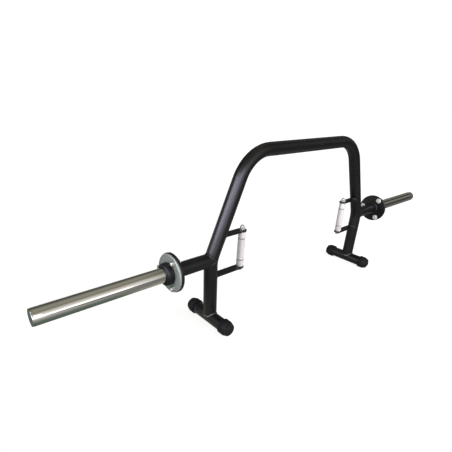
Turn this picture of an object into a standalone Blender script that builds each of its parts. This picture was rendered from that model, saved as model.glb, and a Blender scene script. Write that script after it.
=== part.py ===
"""Trap bar with an arched tube frame, standing feet, turning grips and turning plate sleeves.

Metres, +Z up. The origin is on the floor under the middle of the frame, +X runs along the
right-hand sleeve and -Y is the open front. Every piece is its own object. The pieces that turn
are parented to an empty on their axis.
"""
import math

import bmesh
import bpy
from mathutils import Matrix, Vector

# Clearances
SEAT_GAP = 0.0003
RUNNING_GAP = 0.0003
THRUST_GAP = 0.0005

# Frame tube and its centre line
FRAME_TUBE_OD = 0.050
FRAME_TUBE_WALL = 0.003
FRAME_HEIGHT = 0.655
BEAM_CORNER_SPACING = 0.650
ELBOW_SPACING = 0.950
FOOT_SPACING = 0.934
CORNER_BEND_RADIUS = 0.145
ELBOW_BEND_RADIUS = 0.120
SLEEVE_AXIS_HEIGHT = 0.265

# Feet
FOOT_TUBE_OD = 0.047
FOOT_TUBE_WALL = 0.003
LEG_END_RISE = 0.012
FOOT_SPAN = 0.236
FOOT_CAP_OD = 0.0575
FOOT_CAP_LENGTH = 0.043
FOOT_CAP_END_WALL = 0.008
FOOT_CAP_NOSE_RADIUS = 0.0265
FOOT_CAP_LIP_RADIUS = 0.003
FOOT_CAP_CROWN = 0.0003

# Flanges between the frame and the sleeves
FLANGE_SPACING = 1.268
FRAME_FLANGE_OD = 0.133
FRAME_FLANGE_THICKNESS = 0.0095
FRAME_FLANGE_EDGE = 0.001
SLEEVE_FLANGE_OD = 0.129
SLEEVE_FLANGE_THICKNESS = 0.006
SLEEVE_FLANGE_CHAMFER = 0.0025
FLANGE_BOLT_CIRCLE = 0.104
FLANGE_BOLT_COUNT = 3

# Spindle that carries the sleeve
SPINDLE_OD = 0.028
SPINDLE_TENON_OD = 0.022
SPINDLE_END_CHAMFER = 0.001
RETAINING_THREAD_DEPTH = 0.026
RETAINING_BOLT_LENGTH = 0.025
RETAINING_WASHER_OD = 0.037
RETAINING_WASHER_THICKNESS = 0.003
RETAINING_HEAD_ROOM = 0.004

# Plate sleeve
OVERALL_LENGTH = 2.140
SLEEVE_OD = 0.050
SLEEVE_WALL = 0.004
SLEEVE_BUSH_LENGTH = 0.030
COLLAR_OD = 0.075
COLLAR_LENGTH = 0.0245
COLLAR_NOSE_RADIUS = 0.010
COLLAR_BACK_EDGE = 0.001
PLUG_RIM_THICKNESS = 0.004
PLUG_RIM_STEP = 0.0004
PLUG_RIM_EDGE = 0.0015
PLUG_INSERT_LENGTH = 0.012

# Handle arms and grips
HANDLE_SPACING = 0.660
UPPER_ARM_HEIGHT = 0.346
LOWER_ARM_HEIGHT = 0.198
ARM_WIDTH = 0.032
ARM_THICKNESS = 0.0065
GRIP_OD = 0.028
GRIP_WALL = 0.003
GRIP_KNURL_LENGTH = 0.082
GRIP_GROOVE_WIDTH = 0.003
GRIP_GROOVE_DEPTH = 0.0018
GRIP_END_EDGE = 0.001
GRIP_BUSH_LENGTH = 0.022
GRIP_BUSH_RIM_THICKNESS = 0.002
GRIP_BUSH_RIM_OD = 0.025

# M10 fasteners of the flanges and the spindle
BOLT_OD = 0.010
HEX_ACROSS_FLATS = 0.017
BOLT_HEAD_HEIGHT = 0.0064
NUT_HEIGHT = 0.008
HEAD_RIM_OD = 0.0255
NUT_RIM_OD = 0.019
HEX_RIM_HEIGHT = 0.0015
BOLT_END_BEYOND_NUT = 0.003

# M10 fasteners of the handles
HANDLE_BOLT_OD = 0.010
HANDLE_HEX_ACROSS_FLATS = 0.017
HANDLE_BOLT_HEAD_HEIGHT = 0.0064
HANDLE_WASHER_OD = 0.022
HANDLE_WASHER_THICKNESS = 0.002
CAP_NUT_HEIGHT = 0.015
CAP_NUT_HEX_HEIGHT = 0.0075
CAP_NUT_DOME_OD = 0.0155
CAP_NUT_DOME_WALL = 0.0025
CAP_NUT_THREAD_FILL = 0.001

# Facets round each kind of piece
TUBE_SIDES = 24
TUBE_BORE_SIDES = 16
ROUND_STEPS = 24
SMALL_STEPS = 16
FASTENER_STEPS = 12
BEND_STEP_DEGREES = 8.5
NOSE_STEPS = 3
FOOT_CAP_NOSE_STEPS = 5
EDGE_STEPS = 1
ARM_END_STEPS = 10
SMOOTH_ANGLE = math.radians(40)
MERGE_DISTANCE = 0.00001

# Places that follow from the sizes above
BEAM_AXIS_HEIGHT = FRAME_HEIGHT - FRAME_TUBE_OD / 2
FOOT_FACET_ROLL = math.pi / ROUND_STEPS
FOOT_AXIS_HEIGHT = FOOT_CAP_OD / 2 * math.cos(FOOT_FACET_ROLL)
FOOT_TUBE_LENGTH = FOOT_SPAN - 2 * (FOOT_CAP_END_WALL + SEAT_GAP)
FRAME_FLANGE_X = FLANGE_SPACING / 2
SLEEVE_FLANGE_X = FRAME_FLANGE_X + FRAME_FLANGE_THICKNESS + SEAT_GAP
SLEEVE_FLANGE_FACE_X = SLEEVE_FLANGE_X + SLEEVE_FLANGE_THICKNESS
SLEEVE_START_X = SLEEVE_FLANGE_FACE_X + THRUST_GAP
SLEEVE_BORE_OD = SLEEVE_OD - 2 * SLEEVE_WALL
TUBE_END_X = OVERALL_LENGTH / 2 - PLUG_RIM_THICKNESS - SEAT_GAP
PLUG_INNER_X = TUBE_END_X + SEAT_GAP - PLUG_INSERT_LENGTH
SPINDLE_END_X = (PLUG_INNER_X - RETAINING_HEAD_ROOM - BOLT_HEAD_HEIGHT
                 - RETAINING_WASHER_THICKNESS - 2 * SEAT_GAP)
HANDLE_X = HANDLE_SPACING / 2
LOWER_ARM_TOP = LOWER_ARM_HEIGHT + ARM_THICKNESS / 2
UPPER_ARM_BOTTOM = UPPER_ARM_HEIGHT - ARM_THICKNESS / 2
BOLT_HOLE_OD = BOLT_OD + 2 * SEAT_GAP
HANDLE_HOLE_OD = HANDLE_BOLT_OD + 2 * SEAT_GAP
HEX_CORNER = 1 / math.sqrt(3)

SIDES = (("left", -1), ("right", 1))
ENDS = (("front", -1), ("rear", 1))


def clear_scene():
    """Take out whatever the scene held before."""
    for thing in list(bpy.data.objects):
        bpy.data.objects.remove(thing, do_unlink=True)


def new_collection(name):
    """Make a collection that hangs under the scene."""
    collection = bpy.data.collections.new(name)
    bpy.context.scene.collection.children.link(collection)
    return collection


def make_material(name, colour, roughness, metallic):
    """A plain surface of one colour."""
    material = bpy.data.materials.new(name)
    material.use_nodes = True
    shader = material.node_tree.nodes["Principled BSDF"]
    shader.inputs["Base Color"].default_value = (*colour, 1.0)
    shader.inputs["Roughness"].default_value = roughness
    shader.inputs["Metallic"].default_value = metallic
    return material


def tilt_to(direction, roll=0.0):
    """The rotation that turns local +Z to a world axis, after a roll about +Z."""
    tilts = {
        "+X": Matrix.Rotation(math.pi / 2, 3, "Y"),
        "-X": Matrix.Rotation(-math.pi / 2, 3, "Y"),
        "+Y": Matrix.Rotation(-math.pi / 2, 3, "X"),
        "-Y": Matrix.Rotation(math.pi / 2, 3, "X"),
        "+Z": Matrix.Identity(3),
        "-Z": Matrix.Rotation(math.pi, 3, "X"),
    }
    return (tilts[direction] @ Matrix.Rotation(roll, 3, "Z")).to_euler()


def outward(side):
    """The axis that points away from the middle on this side."""
    return "+X" if side > 0 else "-X"


def turning_bore(shaft_od):
    """Radius of a faceted bore whose flats clear the shaft that turns in it."""
    return (shaft_od / 2 + RUNNING_GAP) / math.cos(math.pi / SMALL_STEPS)


def arc(centre_r, centre_h, radius, start, end, steps):
    """Points of a round corner in a turned profile, from one angle to another in degrees."""
    angles = [math.radians(start + (end - start) * i / steps) for i in range(steps + 1)]
    return [(centre_r + radius * math.cos(a), centre_h + radius * math.sin(a)) for a in angles]


class Workshop:
    """Makes pieces and cutters, and files them in their collections."""

    def __init__(self):
        self.parts = new_collection("trap_bar")
        self.cutters = new_collection("trap_bar_cutters")
        self.materials = {
            "frame_black": make_material("frame_black", (0.012, 0.012, 0.014), 0.42, 0.0),
            "collar_black": make_material("collar_black", (0.013, 0.013, 0.016), 0.45, 0.0),
            "cap_rubber": make_material("cap_rubber", (0.010, 0.010, 0.011), 0.7, 0.0),
            "chrome": make_material("chrome", (0.62, 0.60, 0.57), 0.08, 1.0),
            "zinc": make_material("zinc", (0.42, 0.45, 0.43), 0.32, 1.0),
            "bright_fastener": make_material("bright_fastener", (0.66, 0.66, 0.68), 0.25, 1.0),
            "grip_steel": make_material("grip_steel", (0.62, 0.58, 0.60), 0.35, 1.0),
            "spindle_steel": make_material("spindle_steel", (0.35, 0.35, 0.36), 0.4, 1.0),
            "bronze": make_material("bronze", (0.50, 0.32, 0.14), 0.4, 1.0),
            "bush_nylon": make_material("bush_nylon", (0.62, 0.60, 0.54), 0.55, 0.0),
        }

    def add_object(self, name, mesh, material=None):
        """Link a mesh as a piece, or as a cutter when it has no material."""
        thing = bpy.data.objects.new(name, mesh)
        if material is None:
            self.cutters.objects.link(thing)
            thing.hide_render = True
            thing.display_type = "WIRE"
        else:
            self.parts.objects.link(thing)
            mesh.materials.clear()
            mesh.materials.append(self.materials[material])
        return thing

    def settle(self, name, source, material=None):
        """Turn a curve or a screwed profile into a closed mesh with the same place."""
        bpy.context.view_layer.update()
        graph = bpy.context.evaluated_depsgraph_get()
        mesh = bpy.data.meshes.new_from_object(source.evaluated_get(graph))
        place = source.matrix_world.copy()
        bpy.data.objects.remove(source, do_unlink=True)
        shell = bmesh.new()
        shell.from_mesh(mesh)
        bmesh.ops.remove_doubles(shell, verts=shell.verts, dist=MERGE_DISTANCE)
        bmesh.ops.recalc_face_normals(shell, faces=shell.faces)
        shell.to_mesh(mesh)
        shell.free()
        mesh.name = name
        mesh.shade_smooth()
        mesh.set_sharp_from_angle(angle=SMOOTH_ANGLE)
        thing = self.add_object(name, mesh, material)
        thing.matrix_world = place
        return thing

    def turned(self, name, profile, material=None, steps=ROUND_STEPS, closed=False):
        """Revolve a profile of (radius, height) points about local Z.

        The points run down the outer side from the top. A closed profile makes a ring, an open
        one starts and ends on the axis.
        """
        mesh = bpy.data.meshes.new(name)
        points = [(radius, 0.0, height) for radius, height in profile]
        edges = [(i, i + 1) for i in range(len(points) - 1)]
        if closed:
            edges.append((len(points) - 1, 0))
        mesh.from_pydata(points, edges, [])
        source = bpy.data.objects.new(name, mesh)
        self.parts.objects.link(source)
        screw = source.modifiers.new("turn", "SCREW")
        screw.axis = "Z"
        screw.steps = steps
        screw.render_steps = steps
        screw.use_merge_vertices = True
        screw.merge_threshold = MERGE_DISTANCE
        return self.settle(name, source, material)

    def bent_tube(self, name, points, radius, sides, material=None):
        """A solid rod of a given radius along a line of points."""
        curve = bpy.data.curves.new(name, "CURVE")
        curve.dimensions = "3D"
        spline = curve.splines.new("POLY")
        spline.points.add(len(points) - 1)
        for slot, point in zip(spline.points, points):
            slot.co = (*point, 1.0)
        curve.bevel_depth = radius
        curve.bevel_resolution = (sides - 4) // 2
        curve.use_fill_caps = True
        source = bpy.data.objects.new(name, curve)
        self.parts.objects.link(source)
        return self.settle(name, source, material)

    def flat_bar(self, name, outline, thickness, material=None):
        """A plate with a given outline in X and Y, centred on its thickness."""
        curve = bpy.data.curves.new(name, "CURVE")
        curve.dimensions = "2D"
        curve.fill_mode = "BOTH"
        curve.extrude = thickness / 2
        spline = curve.splines.new("POLY")
        spline.points.add(len(outline) - 1)
        for slot, (x, y) in zip(spline.points, outline):
            slot.co = (x, y, 0.0, 1.0)
        spline.use_cyclic_u = True
        source = bpy.data.objects.new(name, curve)
        self.parts.objects.link(source)
        return self.settle(name, source, material)

    def prism(self, name, radius, bottom, top, sides, material=None):
        """An upright prism between two heights, such as a hexagon head or a round rod."""
        shell = bmesh.new()
        middle = Matrix.Translation((0, 0, (bottom + top) / 2))
        bmesh.ops.create_cone(shell, cap_ends=True, segments=sides, radius1=radius,
                              radius2=radius, depth=top - bottom, matrix=middle)
        mesh = bpy.data.meshes.new(name)
        shell.to_mesh(mesh)
        shell.free()
        mesh.shade_smooth()
        mesh.set_sharp_from_angle(angle=SMOOTH_ANGLE)
        return self.add_object(name, mesh, material)


def combine(piece, tool, operation):
    """Cut a tool out of a piece, or join the tool to it."""
    step = piece.modifiers.new(tool.name, "BOOLEAN")
    step.operation = operation
    step.solver = "EXACT"
    step.object = tool


def place(thing, location, direction="+Z", roll=0.0, parent=None):
    """Put a piece at a world point, turned to a world axis, under an optional empty."""
    thing.location = location
    thing.rotation_euler = tilt_to(direction, roll)
    if parent is not None:
        bpy.context.view_layer.update()
        thing.parent = parent
        thing.matrix_parent_inverse = parent.matrix_world.inverted()


def spin_empty(shop, name, location):
    """An empty on a joint's axis, which carries the pieces that turn about it."""
    empty = bpy.data.objects.new(name, None)
    empty.empty_display_size = 0.05
    shop.parts.objects.link(empty)
    empty.location = location
    bpy.context.view_layer.update()
    return empty


def fillet(before, corner, after, radius):
    """Points of a round bend that replaces a corner of the centre line."""
    to_before = (before - corner).normalized()
    to_after = (after - corner).normalized()
    half_angle = to_before.angle(to_after) / 2
    turn = math.pi - 2 * half_angle
    reach = radius / math.tan(half_angle)
    start = corner + to_before * reach
    middle = corner + (to_before + to_after).normalized() * (radius / math.sin(half_angle))
    steps = max(2, math.ceil(math.degrees(turn) / BEND_STEP_DEGREES))
    across = (start - middle).normalized()
    along = (corner - start).normalized()
    angles = [turn * i / steps for i in range(steps + 1)]
    return [middle + (across * math.cos(a) + along * math.sin(a)) * radius for a in angles]


def frame_line(foot_end_height):
    """Centre line of the bent tube, from the left foot over the beam to the right foot."""
    corners = [
        Vector((FOOT_SPACING / 2, 0, foot_end_height)),
        Vector((ELBOW_SPACING / 2, 0, SLEEVE_AXIS_HEIGHT)),
        Vector((BEAM_CORNER_SPACING / 2, 0, BEAM_AXIS_HEIGHT)),
        Vector((0, 0, BEAM_AXIS_HEIGHT)),
    ]
    half = [corners[0]]
    half += fillet(corners[0], corners[1], corners[2], ELBOW_BEND_RADIUS)
    half += fillet(corners[1], corners[2], corners[3], CORNER_BEND_RADIUS)
    left = [Vector((-point.x, point.y, point.z)) for point in half]
    return left + half[::-1]


def leg_axis_x(height):
    """Distance of the leg's straight centre line from the middle at a height."""
    if height > SLEEVE_AXIS_HEIGHT:
        share = (height - SLEEVE_AXIS_HEIGHT) / (BEAM_AXIS_HEIGHT - SLEEVE_AXIS_HEIGHT)
        return (ELBOW_SPACING + (BEAM_CORNER_SPACING - ELBOW_SPACING) * share) / 2
    share = (height - FOOT_AXIS_HEIGHT) / (SLEEVE_AXIS_HEIGHT - FOOT_AXIS_HEIGHT)
    return (FOOT_SPACING + (ELBOW_SPACING - FOOT_SPACING) * share) / 2


def bolt_places():
    """Heights and depths of the flange bolts round the sleeve axis, one of them at the rear."""
    places = []
    for i in range(FLANGE_BOLT_COUNT):
        angle = 2 * math.pi * i / FLANGE_BOLT_COUNT
        places.append((FLANGE_BOLT_CIRCLE / 2 * math.cos(angle),
                       SLEEVE_AXIS_HEIGHT + FLANGE_BOLT_CIRCLE / 2 * math.sin(angle)))
    return places


def build_frame(shop):
    """The bent tube, hollow, with its lower ends coped to sit on the foot tubes."""
    foot_end = FOOT_AXIS_HEIGHT + LEG_END_RISE
    radius = FRAME_TUBE_OD / 2
    arch = shop.bent_tube("frame_arch", frame_line(foot_end), radius, TUBE_SIDES, "frame_black")
    bore_line = frame_line(FOOT_AXIS_HEIGHT)
    bore = shop.bent_tube("cut_frame_bore", bore_line, radius - FRAME_TUBE_WALL, TUBE_BORE_SIDES)
    combine(arch, bore, "DIFFERENCE")
    for label, side in SIDES:
        cope = shop.prism(f"cut_foot_{label}", FOOT_TUBE_OD / 2 + SEAT_GAP, -FOOT_SPAN / 2,
                          FOOT_SPAN / 2, ROUND_STEPS)
        place(cope, (side * FOOT_SPACING / 2, 0, FOOT_AXIS_HEIGHT), "+Y", FOOT_FACET_ROLL)
        combine(arch, cope, "DIFFERENCE")
    return shop.bent_tube("cut_frame_outside", frame_line(FOOT_AXIS_HEIGHT), radius + SEAT_GAP,
                          TUBE_SIDES)


def build_feet(shop):
    """Cross tubes under the legs and the round rubber caps on their ends."""
    outer = FOOT_TUBE_OD / 2
    inner = outer - FOOT_TUBE_WALL
    half = FOOT_TUBE_LENGTH / 2
    tube_profile = [(outer, half), (outer, -half), (inner, -half), (inner, half)]
    for label, side in SIDES:
        centre = (side * FOOT_SPACING / 2, 0, FOOT_AXIS_HEIGHT)
        tube = shop.turned(f"foot_tube_{label}", tube_profile, "frame_black", closed=True)
        place(tube, centre, "+Y", FOOT_FACET_ROLL)
        for end_label, end in ENDS:
            cap = shop.turned(f"foot_cap_{label}_{end_label}", cap_profile(), "cap_rubber")
            back = end * (FOOT_SPAN / 2 - FOOT_CAP_LENGTH)
            place(cap, (centre[0], back, centre[2]), "+Y" if end > 0 else "-Y", FOOT_FACET_ROLL)


def cap_profile():
    """A rubber cup with a rounded nose, open at the back where the foot tube goes in."""
    outer = FOOT_CAP_OD / 2
    bore = FOOT_TUBE_OD / 2 + SEAT_GAP
    nose = FOOT_CAP_NOSE_RADIUS
    lip = FOOT_CAP_LIP_RADIUS
    shoulder = FOOT_CAP_LENGTH - FOOT_CAP_CROWN
    profile = [(0, FOOT_CAP_LENGTH)]
    profile += arc(outer - nose, shoulder - nose, nose, 90, 0, FOOT_CAP_NOSE_STEPS)
    profile += arc(outer - lip, lip, lip, 0, -90, EDGE_STEPS)
    profile += [(bore, 0), (bore, FOOT_CAP_LENGTH - FOOT_CAP_END_WALL)]
    profile += [(0, FOOT_CAP_LENGTH - FOOT_CAP_END_WALL)]
    return profile


def build_stub(shop, label, side, frame_outside):
    """Level tube welded to the elbow, coped to it, and the drilled flange on its end."""
    outer = FRAME_TUBE_OD / 2
    inner = outer - FRAME_TUBE_WALL
    start = ELBOW_SPACING / 2
    length = FRAME_FLANGE_X - SEAT_GAP - start
    profile = [(outer, length), (outer, 0), (inner, 0), (inner, length)]
    stub = shop.turned(f"stub_tube_{label}", profile, "frame_black", TUBE_SIDES, closed=True)
    place(stub, (side * start, 0, SLEEVE_AXIS_HEIGHT), outward(side))
    combine(stub, frame_outside, "DIFFERENCE")

    radius = FRAME_FLANGE_OD / 2
    edge = FRAME_FLANGE_EDGE
    thick = FRAME_FLANGE_THICKNESS
    disc = [(0, thick), (radius - edge, thick), (radius, thick - edge), (radius, edge),
            (radius - edge, 0), (0, 0)]
    flange = shop.turned(f"frame_flange_{label}", disc, "frame_black")
    place(flange, (side * FRAME_FLANGE_X, 0, SLEEVE_AXIS_HEIGHT), outward(side))
    return flange


def build_spindle(shop, label, side):
    """Zinc plated flange, the spindle seated in it, and the washer and bolt on its far end."""
    radius = SLEEVE_FLANGE_OD / 2
    chamfer = SLEEVE_FLANGE_CHAMFER
    thick = SLEEVE_FLANGE_THICKNESS
    tenon = SPINDLE_TENON_OD / 2
    hole = tenon + SEAT_GAP
    disc = [(hole, thick), (radius - chamfer, thick), (radius, thick - chamfer), (radius, 0),
            (hole, 0)]
    flange = shop.turned(f"sleeve_flange_{label}", disc, "zinc", closed=True)
    place(flange, (side * SLEEVE_FLANGE_X, 0, SLEEVE_AXIS_HEIGHT), outward(side))

    shaft = SPINDLE_OD / 2
    thread = BOLT_HOLE_OD / 2
    shoulder = SLEEVE_FLANGE_FACE_X + SEAT_GAP - SLEEVE_FLANGE_X
    length = SPINDLE_END_X - SLEEVE_FLANGE_X
    bottom = length - RETAINING_THREAD_DEPTH
    profile = [(thread, length), (shaft - SPINDLE_END_CHAMFER, length),
               (shaft, length - SPINDLE_END_CHAMFER), (shaft, shoulder), (tenon, shoulder),
               (tenon, 0), (0, 0)]
    profile += [(0, bottom), (thread, bottom)]
    spindle = shop.turned(f"spindle_{label}", profile, "spindle_steel", SMALL_STEPS, closed=True)
    place(spindle, (side * SLEEVE_FLANGE_X, 0, SLEEVE_AXIS_HEIGHT), outward(side))

    washer_x = SPINDLE_END_X + SEAT_GAP
    washer = shop.turned(f"retaining_washer_{label}",
                         ring_profile(RETAINING_WASHER_OD / 2, thread, RETAINING_WASHER_THICKNESS),
                         "bright_fastener", SMALL_STEPS, closed=True)
    place(washer, (side * washer_x, 0, SLEEVE_AXIS_HEIGHT), outward(side))
    seat_x = washer_x + RETAINING_WASHER_THICKNESS + SEAT_GAP
    bolt = hex_bolt(shop, f"retaining_bolt_{label}", BOLT_OD, HEX_ACROSS_FLATS,
                    BOLT_HEAD_HEIGHT, RETAINING_BOLT_LENGTH)
    place(bolt, (side * seat_x, 0, SLEEVE_AXIS_HEIGHT), outward(-side))
    return flange


def ring_profile(outer, inner, height):
    """A plain washer or bush, standing on local Z = 0."""
    return [(outer, height), (outer, 0), (inner, 0), (inner, height)]


def hex_bolt(shop, name, shank_od, across_flats, head_height, length):
    """Hexagon bolt with its head under local Z = 0 and its shank up +Z."""
    bolt = shop.prism(name, shank_od / 2, -head_height / 2, length, FASTENER_STEPS,
                      "bright_fastener")
    head = shop.prism(f"join_{name}_head", across_flats * HEX_CORNER, -head_height, 0, 6)
    head.parent = bolt
    combine(bolt, head, "UNION")
    return bolt


def flange_nut(shop, name):
    """Hexagon nut with a round rim on its seat at local Z = 0."""
    nut = shop.prism(name, NUT_RIM_OD / 2, 0, HEX_RIM_HEIGHT, FASTENER_STEPS, "bright_fastener")
    body = shop.prism(f"join_{name}_body", HEX_ACROSS_FLATS * HEX_CORNER, HEX_RIM_HEIGHT / 2,
                      NUT_HEIGHT, 6)
    thread = shop.prism(f"cut_{name}_thread", BOLT_HOLE_OD / 2, -NUT_HEIGHT, 2 * NUT_HEIGHT,
                        FASTENER_STEPS)
    for tool, operation in ((body, "UNION"), (thread, "DIFFERENCE")):
        tool.parent = nut
        combine(nut, tool, operation)
    return nut


def bolt_flanges(shop, label, side, flanges):
    """Drill both flanges and put the bolts and nuts through them, heads towards the frame."""
    stack = SLEEVE_FLANGE_FACE_X - FRAME_FLANGE_X
    length = SEAT_GAP + stack + SEAT_GAP + NUT_HEIGHT + BOLT_END_BEYOND_NUT
    for number, (depth, height) in enumerate(bolt_places(), start=1):
        middle = (side * (FRAME_FLANGE_X + stack / 2), depth, height)
        drill = shop.prism(f"cut_{label}_hole_{number}", BOLT_HOLE_OD / 2, -stack, stack,
                           FASTENER_STEPS)
        place(drill, middle, outward(side))
        for flange in flanges:
            combine(flange, drill, "DIFFERENCE")
        bolt = hex_bolt(shop, f"flange_bolt_{label}_{number}", BOLT_OD, HEX_ACROSS_FLATS,
                        BOLT_HEAD_HEIGHT, length)
        rim = shop.prism(f"join_flange_bolt_{label}_{number}_rim", HEAD_RIM_OD / 2,
                         -HEX_RIM_HEIGHT, 0, FASTENER_STEPS)
        rim.parent = bolt
        combine(bolt, rim, "UNION")
        place(bolt, (side * (FRAME_FLANGE_X - SEAT_GAP), depth, height), outward(side))
        nut = flange_nut(shop, f"flange_nut_{label}_{number}")
        place(nut, (side * (SLEEVE_FLANGE_FACE_X + SEAT_GAP), depth, height), outward(side))


def build_sleeve(shop, label, side):
    """The turning sleeve: tube, plate stop collar, two bronze bushes and the end plug."""
    axis = outward(side)
    empty = spin_empty(shop, f"spin_sleeve_{label}",
                       (side * SLEEVE_START_X, 0, SLEEVE_AXIS_HEIGHT))

    def mount(piece, distance):
        place(piece, (side * distance, 0, SLEEVE_AXIS_HEIGHT), axis, parent=empty)

    outer = SLEEVE_OD / 2
    bore = SLEEVE_BORE_OD / 2
    tube = shop.turned(f"sleeve_tube_{label}",
                       ring_profile(outer, bore, TUBE_END_X - SLEEVE_START_X), "chrome",
                       closed=True)
    mount(tube, SLEEVE_START_X)

    stop = COLLAR_OD / 2
    nose = COLLAR_NOSE_RADIUS
    back = COLLAR_BACK_EDGE
    seat = outer + SEAT_GAP
    profile = [(seat, COLLAR_LENGTH)]
    profile += arc(stop - nose, COLLAR_LENGTH - nose, nose, 90, 0, NOSE_STEPS)
    profile += [(stop, back), (stop - back, 0), (seat, 0)]
    collar = shop.turned(f"sleeve_collar_{label}", profile, "collar_black", closed=True)
    mount(collar, SLEEVE_START_X)

    bush = ring_profile(bore - SEAT_GAP, turning_bore(SPINDLE_OD), SLEEVE_BUSH_LENGTH)
    outer_bush_start = SPINDLE_END_X - SEAT_GAP - SLEEVE_BUSH_LENGTH
    for end, start in (("inner", SLEEVE_START_X), ("outer", outer_bush_start)):
        piece = shop.turned(f"sleeve_bush_{label}_{end}", bush, "bronze", SMALL_STEPS,
                            closed=True)
        mount(piece, start)

    rim = outer - PLUG_RIM_STEP
    insert = bore - SEAT_GAP
    edge = PLUG_RIM_EDGE
    profile = [(0, PLUG_RIM_THICKNESS)]
    profile += arc(rim - edge, PLUG_RIM_THICKNESS - edge, edge, 90, 0, EDGE_STEPS)
    profile += [(rim, 0), (insert, 0), (insert, -PLUG_INSERT_LENGTH), (0, -PLUG_INSERT_LENGTH)]
    plug = shop.turned(f"sleeve_plug_{label}", profile, "chrome")
    mount(plug, TUBE_END_X + SEAT_GAP)


def arm_outline(length):
    """A flat bar from x = 0 towards -X, with a round end about the handle axis."""
    radius = ARM_WIDTH / 2
    outline = [(0, -radius), (0, radius)]
    for i in range(ARM_END_STEPS + 1):
        angle = math.pi / 2 + math.pi * i / ARM_END_STEPS
        outline.append((-length + radius * math.cos(angle), radius * math.sin(angle)))
    return outline


def build_handle(shop, label, side, frame_outside):
    """Two flat arms on the leg, and the grip that turns on the bolt between them."""
    handle_x = side * HANDLE_X
    drill = shop.prism(f"cut_{label}_handle_hole", HANDLE_HOLE_OD / 2,
                       LOWER_ARM_HEIGHT - ARM_WIDTH, UPPER_ARM_HEIGHT + ARM_WIDTH,
                       FASTENER_STEPS)
    place(drill, (handle_x, 0, 0))
    for level, height in (("upper", UPPER_ARM_HEIGHT), ("lower", LOWER_ARM_HEIGHT)):
        root = leg_axis_x(height)
        outline = arm_outline(root - HANDLE_X)
        if side < 0:
            outline = [(-x, y) for x, y in outline][::-1]
        arm = shop.flat_bar(f"handle_arm_{label}_{level}", outline, ARM_THICKNESS, "frame_black")
        arm.location = (side * root, 0, height)
        combine(arm, frame_outside, "DIFFERENCE")
        combine(arm, drill, "DIFFERENCE")
    build_grip(shop, label, handle_x)
    build_handle_bolt(shop, label, handle_x)


def build_grip(shop, label, handle_x):
    """Knurled tube between two grooves, on flanged nylon bushes."""
    low = LOWER_ARM_TOP + SEAT_GAP + GRIP_BUSH_RIM_THICKNESS + SEAT_GAP
    high = UPPER_ARM_BOTTOM - SEAT_GAP - GRIP_BUSH_RIM_THICKNESS - SEAT_GAP
    length = high - low
    middle = length / 2
    outer = GRIP_OD / 2
    bore = outer - GRIP_WALL
    floor = outer - GRIP_GROOVE_DEPTH
    edge = GRIP_END_EDGE
    empty = spin_empty(shop, f"spin_grip_{label}", (handle_x, 0, low + middle))

    profile = [(outer - edge, length), (outer, length - edge)]
    for centre in (middle + GRIP_KNURL_LENGTH / 2, middle - GRIP_KNURL_LENGTH / 2):
        top = centre + GRIP_GROOVE_WIDTH / 2
        bottom = centre - GRIP_GROOVE_WIDTH / 2
        profile += [(outer, top), (floor, top), (floor, bottom), (outer, bottom)]
    profile += [(outer, edge), (outer - edge, 0), (bore, 0), (bore, length)]
    grip = shop.turned(f"grip_tube_{label}", profile, "grip_steel", TUBE_SIDES, closed=True)
    place(grip, (handle_x, 0, low), parent=empty)

    rim = GRIP_BUSH_RIM_OD / 2
    body = bore - SEAT_GAP
    hole = turning_bore(HANDLE_BOLT_OD)
    step = GRIP_BUSH_RIM_THICKNESS
    height = step + SEAT_GAP + GRIP_BUSH_LENGTH
    bush = [(body, height), (body, step), (rim, step), (rim, 0), (hole, 0), (hole, height)]
    for level, start, direction in (("upper", UPPER_ARM_BOTTOM - SEAT_GAP, "-Z"),
                                    ("lower", LOWER_ARM_TOP + SEAT_GAP, "+Z")):
        piece = shop.turned(f"grip_bush_{label}_{level}", bush, "bush_nylon", SMALL_STEPS,
                            closed=True)
        place(piece, (handle_x, 0, start), direction, parent=empty)


def build_handle_bolt(shop, label, handle_x):
    """Long bolt up through both arms and the grip, with washers and a domed cap nut."""
    thread = HANDLE_HOLE_OD / 2
    washer = ring_profile(HANDLE_WASHER_OD / 2, thread, HANDLE_WASHER_THICKNESS)
    lower_seat = LOWER_ARM_HEIGHT - ARM_THICKNESS / 2 - SEAT_GAP - HANDLE_WASHER_THICKNESS
    upper_seat = UPPER_ARM_HEIGHT + ARM_THICKNESS / 2 + SEAT_GAP
    for name, height in (("handle_bolt_washer", lower_seat), ("cap_nut_washer", upper_seat)):
        ring = shop.turned(f"{name}_{label}", washer, "bright_fastener", FASTENER_STEPS,
                           closed=True)
        place(ring, (handle_x, 0, height))

    nut_seat = upper_seat + HANDLE_WASHER_THICKNESS + SEAT_GAP
    blind_end = CAP_NUT_HEIGHT - CAP_NUT_DOME_WALL
    bolt_start = lower_seat - SEAT_GAP
    length = nut_seat + blind_end - CAP_NUT_THREAD_FILL - bolt_start
    bolt = hex_bolt(shop, f"handle_bolt_{label}", HANDLE_BOLT_OD, HANDLE_HEX_ACROSS_FLATS,
                    HANDLE_BOLT_HEAD_HEIGHT, length)
    place(bolt, (handle_x, 0, bolt_start))

    dome = CAP_NUT_DOME_OD / 2
    profile = [(0, CAP_NUT_HEIGHT)]
    profile += arc(0, CAP_NUT_HEIGHT - dome, dome, 90, 0, NOSE_STEPS)[1:]
    profile += [(dome, 0), (thread, 0), (thread, blind_end), (0, blind_end)]
    nut = shop.turned(f"cap_nut_{label}", profile, "bright_fastener", FASTENER_STEPS)
    hexagon = shop.turned(f"join_cap_nut_{label}",
                          ring_profile(HANDLE_HEX_ACROSS_FLATS * HEX_CORNER, (thread + dome) / 2,
                                       CAP_NUT_HEX_HEIGHT), None, 6, closed=True)
    hexagon.parent = nut
    combine(nut, hexagon, "UNION")
    place(nut, (handle_x, 0, nut_seat))


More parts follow.
